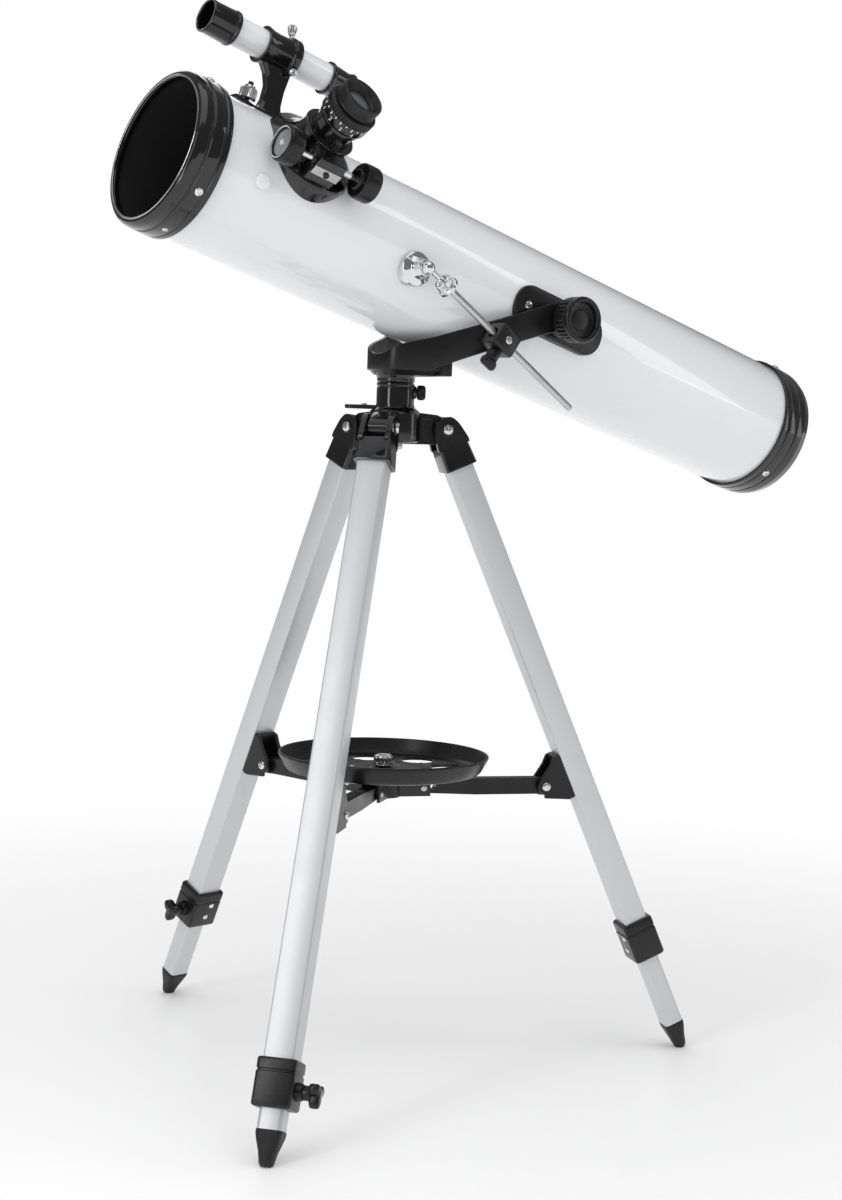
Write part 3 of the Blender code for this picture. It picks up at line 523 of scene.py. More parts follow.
def fork():
    thick = 4.6
    stations = [(134, 71, 629.5, 648), (112, 71, 626.8, 651.5), (95, 70.2, 622.6, 647),
                (75, 68.6, 616.6, 640.8), (55, 64.6, 610.2, 634.6), (40, 58.4, 605, 629.6),
                (25, 48.6, 598.6, 624), (8, 36.5, 590.5, 617.8), (-8, 26.5, 590, 613.4),
                (-17.5, 17.5, 590, 609), (-20.5, 7, 590, 604.4)]
    line = [(x, -w, lo, hi) for x, w, lo, hi in stations] + [(x, w, lo, hi) for x, w, lo, hi in reversed(stations)]
    line = smooth_line(line, 5)
    rings = []
    r = 1.3
    for i, (x, y, lo, hi) in enumerate(line):
        before, after = line[max(i - 1, 0)], line[min(i + 1, len(line) - 1)]
        d = Vector((after[0] - before[0], after[1] - before[1])).normalized()
        inward = Vector((d.y, -d.x))
        ring = []
        for t, h, start in ((r, lo + r, 180), (thick - r, lo + r, 270), (thick - r, hi - r, 0),
                            (r, hi - r, 90)):
            for k in range(5):
                a = math.radians(start + 22.5 * k)
                s = t + r * math.cos(a)
                ring.append((x + inward.x * s, y + inward.y * s, h + r * math.sin(a)))
        rings.append(ring)
    piece("fork_cradle", skin(rings), "satin", "fork", swaps=["fork"], sharp=50)
    low = [(-19, -7), (-16.5, -16), (-7.6, -24.5), (7.6, -34.5), (22, -44.5), (24, -44.5), (27, -20),
           (27, 20), (24, 44.5), (22, 44.5), (7.6, 34.5), (-7.6, 24.5), (-16.5, 16), (-19, 7)]
    under = [(x * 0.90 + 1, y * 0.80, 586.2) for x, y in low]
    floor = skin([under, [(x, y, 590.5) for x, y in low], [(x, y, 597) for x, y in low]])
    piece("fork_floor", floor, "satin", "fork", bevel=0.8)
    piece("fork_rear_rib", prism([(14, 586.2), (26.5, 586.2), (26.5, 601), (20, 601)], -43, 43), "satin",
          "fork", UPRIGHT, bevel=1.0)
    neck = [(0, 556.4), (6, 556.4), (6, 580.5), (15.2, 580.5), (PIER_R, 581.2), (PIER_R, 584), (17.2, 586.4),
            (18.5, 590.4), (0, 590.4)]
    piece("fork_neck", turned(neck, 0.5), "gloss", "fork")
    for side, sign in (("near", 1), ("far", -1)):
        at = AXF @ aim((0, 0, 0), (0, sign, 0))
        boss = [(4.3, 64.8), (15.4, 64.8), (15.4, 69.6), (14.4, 71.5), (12.6, 71.7), (12.2, 71), (4.3, 71)]
        piece("fork_boss_" + side, turned(boss, 0.5, 64), "satin", "fork", at)
    lug = AXF @ aim((ROD_CLAMP[0], 0, ROD_CLAMP[1]), (0, 1, 0))
    piece("fork_rod_lug", turned([(3.2, 59.2), (7.6, 59.2), (7.6, 64), (6.8, 66.2), (3.2, 66.2)], 0.5, 40),
          "satin",
          "fork", lug)


# ---------------------------------------------------------------- altitude knobs and side plates
def altitude_axis():
    for side, sign in (("near", 1), ("far", -1)):
        at = AXF @ aim((0, 0, 0), (0, sign, 0))
        grip = [(0, 64.9), (4, 64.9), (4, 72), (15.6, 72), (16.6, 72.8), (16.8, 76), (18.9, 78.2),
                (19.3, 79.4), (19.3, 88.8), (18.5, 89.3), (18.5, 90.1), (19.3, 90.6), (19.3, 93.4),
                (18.4, 94.8),
                (16.6, 95), (15.2, 94.2), (14.5, 92.6), (14.2, 89.2), (9, 88.8), (8.4, 89.6), (0, 89.9)]
        piece("altitude_grip_" + side, turned(grip, 0.5, ribs=30, depth=1.0, band=(78.6, 88.9), sharp=2.2),
              "satin",
              "altitude_knob_" + side, at, swaps=["altitude_knob_" + side])
        flat = AXF @ aim((0, 0, 0), (0, sign, 0), (1, 0, 0))
        to_tube = flat.inverted() @ BORE
        saddle = moved(bar(TUBE_R + 0.15, -120, 120, 0, 128), to_tube)
        plate = lofted([(50.0 - d, 18.5 - d, 17.5 - d, z)
                        for d, z in ((0, 44), (0, 61.6), (0.5, 62.6), (1.6, 63))], 10)
        piece("altitude_plate_" + side, carved(plate, [saddle]), "satin", OTA, flat,
              swaps=["altitude_bracket_" + side])
        hub = [(4.3, 62.6), (12.4, 62.6), (11.6, 64.1), (10.4, 64.4), (4.3, 64.4)]
        piece("altitude_plate_hub_" + side, turned(hub, 0.4, 64), "metal", OTA, flat)
        for x in (-36, 36):
            washer = [(0, 62.8), (5, 62.8), (5, 63.2), (4.6, 63.4), (0, 63.4)]
            tag = side + ("_front" if x > 0 else "_rear")
            piece("plate_washer_" + tag, turned(washer, 0.3, 36), "gloss", OTA, flat @ shift(x, 0, 0))
            screw("plate_bolt_" + tag, flat @ shift(x, 0, 63.3), 3.9, 1, OTA)


# ---------------------------------------------------------------- optical tube
def optical_tube():
    wall = turned([(TUBE_R, TUBE_REAR), (TUBE_R, TUBE_FRONT), (TUBE_IN, TUBE_FRONT), (TUBE_IN, TUBE_REAR)],
                  0.4, 160)
    hole = moved(bar(19, 40, 80, 0, 48), BORE.inverted() @ FOC)
    rack_slot = moved(slab(-3.4, 3.4, 8, 23.4, 40, 80), BORE.inverted() @ FOC)
    piece("main_tube_wall", carved(wall, [hole, rack_slot]), "white", OTA, BORE, swaps=["main_tube"],
          inner=("inside", lambda c: math.hypot(c.x, c.y) < TUBE_IN + 0.4))
    front = [(60.1, 346.9), (63.4, 346.9), (64.1, 347.8), (64.1, 351.6), (63.3, 352.2), (63.3, 353.2),
             (64.1, 353.8),
             (64.1, 363.4), (62.9, 364.1), (62.9, 365.3), (63.9, 366), (63.6, 371.4), (62.6, 374.2),
             (60.9, 375.9),
             (59, 376.1), (57.2, 375.2), (56.8, 373.6), (56.8, 370.4), (60.1, 370.4)]
    piece("front_ring_cap", turned(front, 0.5, 160), "gloss", OTA, BORE, swaps=["front_ring"])
    piece("front_ring_lip", turned([(57.1, 375.3), (58.3, 375.9), (58.9, 376.5), (58.2, 376.9),
                                    (57.2, 376.5)], 0.2, 160),
          "chrome", OTA, BORE)
    for k in range(5):
        z = 60.0 + 40.0 * k
        piece("baffle_%d" % (k + 1),
              turned([(56.4, z), (58.7, z), (58.7, z + 0.8), (56.4, z + 0.8)], 0.1, 96),
              "inside", OTA, BORE)
    for k, (angle, r) in enumerate(((21, 3.5), (121.5, 3.5), (221.5, 3.5), (301, 3.5), (162.5, 2.3))):
        screw("front_ring_screw_%d" % (k + 1), radial(357.5, angle, 63.9), r, r * 0.5, OTA, turn=17.0 * k)
    rear = [(60.1, -288.8), (62, -288.8), (62.6, -289.6), (62.6, -294.4), (61.8, -295), (61.8, -296),
            (62.6, -296.6), (62.6, -305.2), (61.6, -305.8), (61.6, -307), (62.4, -307.6), (62.1, -315.8),
            (61, -318), (59.4, -323.4), (57.6, -324.4), (53.4, -324.4), (52.6, -323.4), (52.6, -306),
            (60.1, -305.4)]
    piece("rear_ring_cap", turned(rear, 0.5, 160), "gloss", OTA, BORE, swaps=["rear_ring"])
    for k, angle in enumerate((19.5, 136.5, 226.5, 309.5)):
        screw("rear_ring_screw_%d" % (k + 1), radial(-300.6, angle, 62.4), 3.4, 1.8, OTA, turn=31.0 * k)
    cell = [(0, -320.2), (14, -320.2), (15, -321.2), (18, -321.2), (19, -320.2), (46, -320.2),
            (47.6, -321.2), (52.3, -321.2), (52.3, -316), (44, -309), (12, -308.5), (12, -303.6), (0, -303.6)]
    piece("mirror_cell_back", turned(cell, 0.6, 128), "satin", OTA, BORE, swaps=["rear_cell"])
    for k in range(3):
        for tag, extra, r, finish in (("push", 0, 5.4, "chrome"), ("lock", 22, 3.6, "steel")):
            at = BORE @ spin(120 * k + extra) @ shift(x=36.0) @ aim((0, 0, -320.2), (0, 0, -1))
            ribs = 20 if tag == "push" else 0
            head = turned([(0, -1), (r, -1), (r, 3), (r - 0.7, 3.8), (0, 3.8)], 0.4, 32, ribs, 0.35,
                          (0.2, 3.2))
            piece("mirror_%s_screw_%d" % (tag, k + 1), head, finish, OTA, at)
    glass = [(0, -303), (48, -303), (48, -292.8), (46.8, -292.4), (36, -293.6), (24, -294.4),
             (12, -294.9), (0, -295)]
    piece("mirror_glass", turned(glass, 0.3, 128), "mirror", OTA, BORE, swaps=["primary_mirror"])
    holder = [(0, 286), (12, 286), (13, 287.2), (13, 310), (10.6, 314), (0, 314)]
    piece("spider_hub", turned(holder, 0.6, 64), "satin", OTA, BORE, swaps=["secondary_spider"])
    for k in range(3):
        piece("spider_vane_%d" % (k + 1), slab(12, TUBE_IN + 0.4, -0.6, 0.6, 291, 307), "metal", OTA,
              BORE @ spin(120 * k + 12), bevel=0.3)
        at = BORE @ spin(120 * k) @ aim((6.8, 0, 314), (0, 0, 1))
        screw("spider_screw_%d" % (k + 1), at, 1.9, 1.3, OTA, "steel")
    s, c = math.sin(FOCUSER_ANGLE), math.cos(FOCUSER_ANGLE)
    diagonal = TUBE @ aim((FOCUSER_ALONG, 0, 0), (-0.7071, 0.7071 * s, 0.7071 * c), (0, c, -s))
    plate = moved(turned([(0, -2.5), (13.2, -2.5), (13.5, 2.1), (13, 2.5), (0, 2.5)], 0.3, 64),
                  Matrix.Diagonal((1, 1.3, 1, 1)))
    piece("diagonal_mirror", plate, "mirror", OTA, diagonal, swaps=["secondary_mirror"])
    piece("diagonal_stalk", bar(4, 272, 286.4, 0.3, 24), "satin", OTA, BORE)
    stud = [(0, -1), (6.2, -1), (6.2, 2.6), (5.4, 3.6), (0, 4)]
    piece("tube_plug", turned(stud, 0.9, 56), "white", OTA, radial(311, 96.5, TUBE_R))


# ---------------------------------------------------------------- focuser and eyepiece
def digits(text, height):
    """Thin raised numerals, centred, in the plane Z = 0."""
    curve = bpy.data.curves.new("numeral", "FONT")
    curve.body = text
    curve.size = height
    curve.extrude = 0.12
    curve.resolution_u = 3
    curve.align_x = "CENTER"
    o = bpy.data.objects.new("numeral", curve)
    bpy.context.scene.collection.objects.link(o)
    bpy.context.view_layer.update()
    evaluated = o.evaluated_get(bpy.context.evaluated_depsgraph_get())
    bm = bmesh.new()
    bm.from_mesh(evaluated.to_mesh())
    evaluated.to_mesh_clear()
    bpy.data.objects.remove(o, do_unlink=True)
    bpy.data.curves.remove(curve)
    return bm


def focuser():
    lateral, out = AXLE
    bore = bar(17.3, 40, 100, 0, 72)
    round_tube = moved(bar(TUBE_R + 0.15, FOCUSER_ALONG - 70, FOCUSER_ALONG + 70, 0, 160),
                       FOC.inverted() @ BORE)
    base = [(0, 34), (39.2, 34), (40, 35), (40, 57.2), (38.6, 59.6), (31, 62.4), (25.6, 66.6),
            (22.9, 72), (21.8, 78.4), (21.8, 82.4), (22.4, 82.8), (22.4, 84), (21.6, 84.4), (0, 84.4)]
    slot = slab(-3.2, 3.2, 6.3, 22.5, 37, 103)
    piece("focuser_saddle", carved(turned(base, 1.4, 128), [round_tube, bore, slot]), "gloss", OTA, FOC,
          swaps=["focuser_base"], sharp=36)
    half = (lateral + 7.6 - 10) / 2
    box = skin([[(x, y + 10.0 + half, z) for x, y in round_box(12.5 - d, half - d, 2, 4)]
                for d, z in ((0, 60), (0, out + 6.4), (0.4, out + 7.2), (1.2, out + 7.6))])
    room = [bar(17.3, 40, 100, 0, 72), slab(-3.2, 3.2, 6.3, 22.5, 37, 103),
            slab(-7, 7, 12.7, lateral + 6, out - 6, out + 6)]
    piece("pinion_housing", carved(box, room), "gloss", OTA, FOC, sharp=36)
    face = FOC @ aim((0, lateral + 7.5, out - 3.4), (0, 1, 0), (1, 0, 0))
    cover = lofted([(12.3 - d, 3.9 - d, 0.6, z) for d, z in ((0, 0), (0, 0.9), (0.3, 1.2))], 3)
    piece("pinion_cover_plate", cover, "steel", OTA, face)
    tension = [(0, 0.8), (2.5, 0.8), (2.5, 2.6), (2, 3.1), (1.3, 3.1), (1.1, 2.4), (0, 2.4)]
    piece("pinion_tension_screw", turned(tension, 0.2, 36), "satin", OTA, face)
    tube = [(17, 49), (17, 94.9), (17.9, 95.2), (18.3, 95.8), (18.3, 98.2), (17.6, 99), (15.9, 99),
            (15.9, 49)]
    piece("drawtube_barrel", turned(tube, 0.3, 96), "gloss", "drawtube", FOC, swaps=["drawtube"])
    rack = [(16.5, 50.5), (20.8, 50.5)]
    for k in range(25):
        z = 51.0 + 1.6 * k
        rack += [(20.8, z), (22, z + 0.35), (22, z + 0.75), (20.8, z + 1.1)]
    rack += [(20.8, 92), (16.5, 92)]
    piece("drawtube_rack", prism(rack, -2.5, 2.5), "metal", "drawtube", FOC @ SIDEWAYS, sharp=20)
    set_screw = FOC @ shift(z=97.1) @ aim((0, 0, 0), (-0.5, -0.86, 0))
    piece("eyepiece_set_screw", turned([(0, 17), (1.4, 17), (1.4, 19.4), (2.2, 19.6), (2.2, 22.6), (1.8, 23),
                                        (0, 23)], 0.3, 0, 14, 0.3, (19.8, 22.6)), "chrome", "drawtube",
                                        set_screw)
    shaft_at = FOC @ aim((0, lateral, out), (1, 0, 0))
    piece("focus_axle", bar(2.5, -44, 44, 0.4, 32), "chrome", "focus_knobs", shaft_at, swaps=["focus_shaft"])
    for side, sign in (("front", 1), ("rear", -1)):
        at = FOC @ aim((0, lateral, out), (sign, 0, 0))
        rim = [(2.56, 27.5), (7.6, 27.5), (8.2, 29.6), (13.4, 30.2), (14.4, 31.2), (14.7, 34), (14.7, 42.2),
               (14, 44.2), (12.6, 44.8), (11.9, 44.2), (11.4, 42.4), (2.56, 42.4)]
        piece("focus_grip_" + side, turned(rim, 0.5, 96), "satin", "focus_knobs", at,
              swaps=["focus_knob_" + side])
        bush = [(2.7, 12.2), (4.6, 12.2), (4.6, 14.2), (4, 15), (2.7, 15)]
        piece("focus_bush_" + side, turned(bush, 0.3, 40), "metal", OTA, at)
        face = [(2.4, 42), (11.3, 42), (11.3, 42.9), (10.4, 43.2), (4, 43.2), (3.2, 44), (2.4, 44)]
        piece("focus_face_" + side, turned(face, 0.25, 64), "grey" if sign > 0 else "gloss", "focus_knobs",
              at)
        if sign > 0:
            lip = [(11.9, 44.3), (12.6, 44.7), (13.1, 44.9), (12.6, 45.1), (11.9, 44.8)]
            piece("focus_rim_front", turned(lip, 0.1, 72), "chrome", "focus_knobs", at)
    lower = [(13.8, 70), (15.6, 70), (15.6, 99.6), (19, 99.6), (20.2, 100.4), (20.6, 101.4),
             (20.6, 108.2), (20, 108.8), (13.8, 108.8)]
    piece("eyepiece_scale_ring", turned(lower, 0.3, 96), "gloss", "eyepiece", FOC, swaps=["eyepiece"])
    grip = [(13.8, 108.4), (20.2, 108.4), (21, 109), (21, 114), (20.2, 114.8), (18.2, 115.2), (13.8, 115.2)]
    piece("eyepiece_ribbed_ring", turned(grip, 0.35, 0, 48, 0.6, (109, 114), 1.6), "satin", "eyepiece", FOC)
    bars = []
    for k in range(24):
        tall = 2.4 if k % 2 == 0 else 1.4
        bars.append(moved(slab(20.5, 20.74, -0.45, 0.45, 108.0 - tall, 108), spin(15 * k)))
    piece("eyepiece_scale_marks", joined(*bars), "mark", "eyepiece", FOC)
    for k in range(12):
        at = FOC @ spin(30 * k + 7.5) @ aim((20.56, 0, 101.4), (1, 0, 0), (0, 1, 0))
        piece("eyepiece_number_%d" % k, digits(str(k + 1), 4.6), "mark", "eyepiece", at)
    cup = [(14, 115), (17.4, 115), (17.8, 116), (17.4, 117.4), (17.7, 118.6), (17.8, 125.4), (17.1, 126.8),
           (16, 127), (15, 126.2), (12.6, 121.6), (10.6, 120.6), (10.2, 118), (14, 117.4)]
    piece("eyecup", turned(cup, 0.5, 96), "rubber", "eyepiece", FOC)
    lens = [(0, 117.6), (10.4, 117.6), (10.4, 119.6), (8, 120.6), (4, 121.2), (0, 121.4)]
    piece("eye_lens", turned(lens, 0.3, 64), "glass", "eyepiece", FOC)


# ---------------------------------------------------------------- finder
def finder():
    sleeve = [(0, 240), (11.8, 240), (11.8, 345), (10.6, 345), (10.6, 340), (0, 339)]
    piece("finder_barrel", turned(sleeve, 0.3, 72), "white", OTA, FIN, swaps=["finder_tube"])
    hood = [(12, 339.4), (13.7, 339.4), (14.3, 340), (14.3, 342.2), (13.5, 342.8), (13.5, 343.6),
            (13.9, 344.4),
            (13.6, 350), (13.5, 362), (13.8, 364.6), (13.3, 365.4), (12.2, 365.4), (11.8, 364.4),
            (11.8, 345.8),
            (12, 345.2)]
    piece("finder_dew_hood", turned(hood, 0.35, 80), "gloss", OTA, FIN, swaps=["finder_hood"])
    piece("finder_hood_rim", turned([(12.2, 365), (12.9, 365.3), (13.3, 365.6), (12.8, 365.8), (12.2, 365.6)],
                                    0.1, 80),
          "chrome", OTA, FIN)
    lens = [(0, 340), (10.7, 340), (10.7, 342.4), (7, 343.8), (0, 344.6)]
    piece("finder_front_lens", turned(lens, 0.3, 64), "glass", OTA, FIN)
    back = [(12, 248.6), (13.4, 248.6), (13.9, 247.8), (13.8, 246.2), (12.9, 244.4), (12.4, 238), (11.7, 231),
            (12.2, 228), (13.2, 225.4), (13, 224.2), (11.8, 223.8), (9.6, 224.2), (8.2, 227), (0, 227.4),
            (0, 239.6), (12, 239.6)]
    piece("finder_eye_end", turned(back, 0.4, 72), "gloss", OTA, FIN, swaps=["finder_eyepiece"])
    piece("finder_eye_lens", turned([(0, 226.8), (8.2, 226.8), (7.4, 225.8), (0, 225.2)], 0.3, 48), "glass",
          OTA, FIN)
    ring = [(12, 280.5), (14.4, 280.5), (15.8, 281.2), (16.3, 282.4), (16.3, 287.2), (15.7, 288),
            (14.6, 288.4),
            (14, 292), (13.8, 300), (14.2, 307), (15.2, 311.4), (15.2, 312.5), (12, 312.5)]
    piece("finder_saddle_ring", turned(ring, 0.4, 80), "gloss", OTA, FIN, swaps=["finder_bracket"])
    rings = []
    for s, w, lift in ((268, 8.4, 60.1), (272, 9.8, 60.1), (279, 10.5, 60.1), (300, 10.5, 60.1),
                       (308, 10.2, 60.5), (315, 9.5, 61.6), (320, 7.6, 62.8), (323.4, 5, 63.8)):
        low = [(s, w * (k / 4 - 1),
                math.sqrt(60.4 ** 2 - (w * (k / 4 - 1)) ** 2) - 60.4 + lift) for k in range(9)]
        rings.append(low + [(x, y, z + 2.5) for x, y, z in reversed(low)])
    piece("finder_shoe", skin(rings), "satin", OTA, TUBE, bevel=0.5, sharp=50)
    top = FINDER_H - 12.6
    stem = []
    for z, x_in, x_out, half in ((61.6, 278, 303, 7), (65, 280.4, 300.6, 5.8), (72, 282.2, 298.8, 5),
                                 (84, 282.8, 299, 5), (93, 282, 303, 5), (top, 281.5, 309, 5.4)):
        stem.append([(x_in, -half, z), (x_out - 3, -half, z), (x_out, 2 - half, z), (x_out, half - 2, z),
                     (x_out - 3, half, z), (x_in, half, z)])
    piece("finder_stem", skin(stem), "gloss", OTA, TUBE, bevel=0.7, sharp=40)
    out = TUBE @ aim((311, 0, 0), (0, 0, 1))
    piece("finder_post", bar(2.2, 62.6, 81.4, 0.5, 24), "satin", OTA, out)
    nut = [(2.26, 66.5), (6, 66.5), (7, 67.4), (7, 75), (6.2, 75.9), (4.4, 76.2), (4.2, 78.2), (2.26, 78.4)]
    piece("finder_knurled_nut", turned(nut, 0.3, 0, 26, 0.45, (67.6, 75)), "chrome", "finder_nut", out,
          swaps=["finder_nut"])
    front = TUBE @ aim((262, 0, 0), (0, 0, 1))
    piece("finder_shoe_stud", turned([(0, 60.2), (3, 60.2), (3, 62), (2, 63.2), (0, 63.4)], 0.3, 32),
          "chrome",
          OTA, front)
    at = TUBE @ shift(284.3, 0, FINDER_H) @ aim((0, 0, 0), (0, -0.29, 0.957))
    thumb = [(0, 12.2), (1.7, 12.2), (1.7, 20.4), (2.7, 20.6), (2.7, 22), (3.2, 22.6), (4, 28.4), (3.4, 29.5),
             (0, 29.8)]
    piece("finder_thumb_screw", turned(thumb, 0.3, 0, 20, 0.4, (22.7, 28.6)), "chrome", "finder_screw_top",
          at,
          swaps=["finder_screw_top"])
    at = TUBE @ shift(284.3, 0, FINDER_H) @ aim((0, 0, 0), (0, 0.66, -0.751))
    side = joined(bar(1.7, 12.2, 17.6, 0.2, 20), moved(cross_head(3.8, 2.6), shift(z=17.6)))
    piece("finder_side_screw", side, "chrome", "finder_screw_side", at, swaps=["finder_screw_side"], sharp=40)


# ---------------------------------------------------------------- slow-motion rod
def threaded(r, depth, pitch, z0, z1, sides=20):
    """Rod with a helical thread."""
    steps = int((z1 - z0) / pitch * 4)
    rings = []
    for i in range(steps + 1):
        z = z0 + (z1 - z0) * i / steps
        ring = []
        for k in range(sides):
            a = 2 * math.pi * k / sides
            phase = ((z - z0) / pitch - k / sides) % 1.0
            q = r - depth * abs(2 * phase - 1)
            ring.append((q * math.cos(a), q * math.sin(a), z))
        rings.append(ring)
    return skin(rings)


def slow_motion():
    tube = moved(bar(TUBE_R + 0.1, BALL[0] - 40, BALL[0] + 40, 0, 160), SOCKET.inverted() @ BORE)
    hole = moved(turned([(5.75 * math.sin(math.radians(9 * k)), -5.75 * math.cos(math.radians(9 * k)))
                         for k in range(21)], 0, 48), shift(z=BALL[1]))
    shell = [(0, 50), (14, 50), (14, 62.2), (13.2, 63.2), (10.8, 64.4), (8.6, 66), (7.5, 68.6), (7.2, 73.2),
             (6.6, 75), (0, 75)]
    piece("ball_socket_shell", carved(turned(shell, 0.5, 80), [tube, hole]), "chrome", OTA, SOCKET,
          swaps=["ball_socket"], sharp=36)
    for k in range(2):
        at = SOCKET @ shift(*polar(11.4, 60 + 180 * k), 63.6)
        screw("socket_screw_%d" % (k + 1), at, 2.3, 1.3, OTA, "steel", turn=40.0)
    ball = [(5.5 * math.sin(math.radians(9 * k)), -5.5 * math.cos(math.radians(9 * k))) for k in range(19)]
    ball = ball[:18] + [(2.1, 5.3), (2.1, 13), (2.9, 14), (2.9, 30.4), (0, 30.4)]
    piece("rod_ball_and_neck", turned(ball, 0, 48), "chrome", "rod", ROD, swaps=["slow_motion_rod"])
    piece("rod_thread", threaded(3, 0.42, 1.25, 30, ROD_LENGTH - 1.2), "steel", "rod", ROD, sharp=60)
    piece("rod_tip", turned([(0, ROD_LENGTH - 1.6), (2.6, ROD_LENGTH - 1.6), (2.2, ROD_LENGTH),
                             (0, ROD_LENGTH)], 0.3, 24),
          "steel", "rod", ROD)
    nut = [(3.06, 16), (6.6, 16), (7.2, 16.8), (7.2, 21.4), (6.8, 22), (8.6, 22.4), (9.2, 23), (9.2, 25.6),
           (8.6, 26.3), (5.2, 26.6), (4.8, 28.6), (4.2, 29), (3.06, 29)]
    piece("rod_knurled_nut", turned(nut, 0.3, 0, 30, 0.4, (16.9, 21.5)), "chrome", "adjuster_nut", ROD,
          swaps=["adjuster_nut"])
    block = lofted([(9.6 - d, 10.0 - d, 2.4, z)
                    for d, z in ((1.2, -11), (0.3, -10.6), (0, -9.8), (0, 9.8), (0.3, 10.6), (1.2, 11))], 4)
    piece("rod_clamp_block", carved(block, [bar(5, -20, 20, 0, 48)]), "satin", "clamp", CLAMP,
          swaps=["rod_clamp"], sharp=36)
    pin = [(0, -22), (3, -22), (3, -11.4), (6.6, -11.4), (6.6, -8.6), (0, -8.6)]
    piece("rod_clamp_pin", turned(pin, 0.3, 32), "steel", "clamp", CLAMP @ aim((0, 0, 0), (1, 0, 0)))
    screw("rod_clamp_face_screw", CLAMP @ aim((9.5, 0, 0), (1, 0, 0)), 3.4, 1.6, "clamp", "steel")
    sign = 1.0 if CLAMP.col[1].z < 0 else -1.0         # the screw hangs under the rod
    at = CLAMP @ aim((0, 0, 0), (0, sign, 0))
    piece("clamp_screw_stem", turned([(0, 5.4), (2, 5.4), (2, 11), (5.2, 11), (5.6, 12), (5.6, 18.6),
                                      (4.8, 19.6), (0, 19.6)], 0.4, 40), "satin", "clamp_screw", at,
          swaps=["clamp_screw"])
    wing = lofted([(5.4, 2.6, 2.4, 18.6), (7.3, 3.4, 3.2, 20), (7.9, 3.5, 3.3, 22.6), (7.7, 3.3, 3.1, 25),
                   (6.4, 2.4, 2.2, 26.4)], 6)
    piece("clamp_screw_wing", wing, "satin", "clamp_screw", at, bevel=0.5, sharp=50)


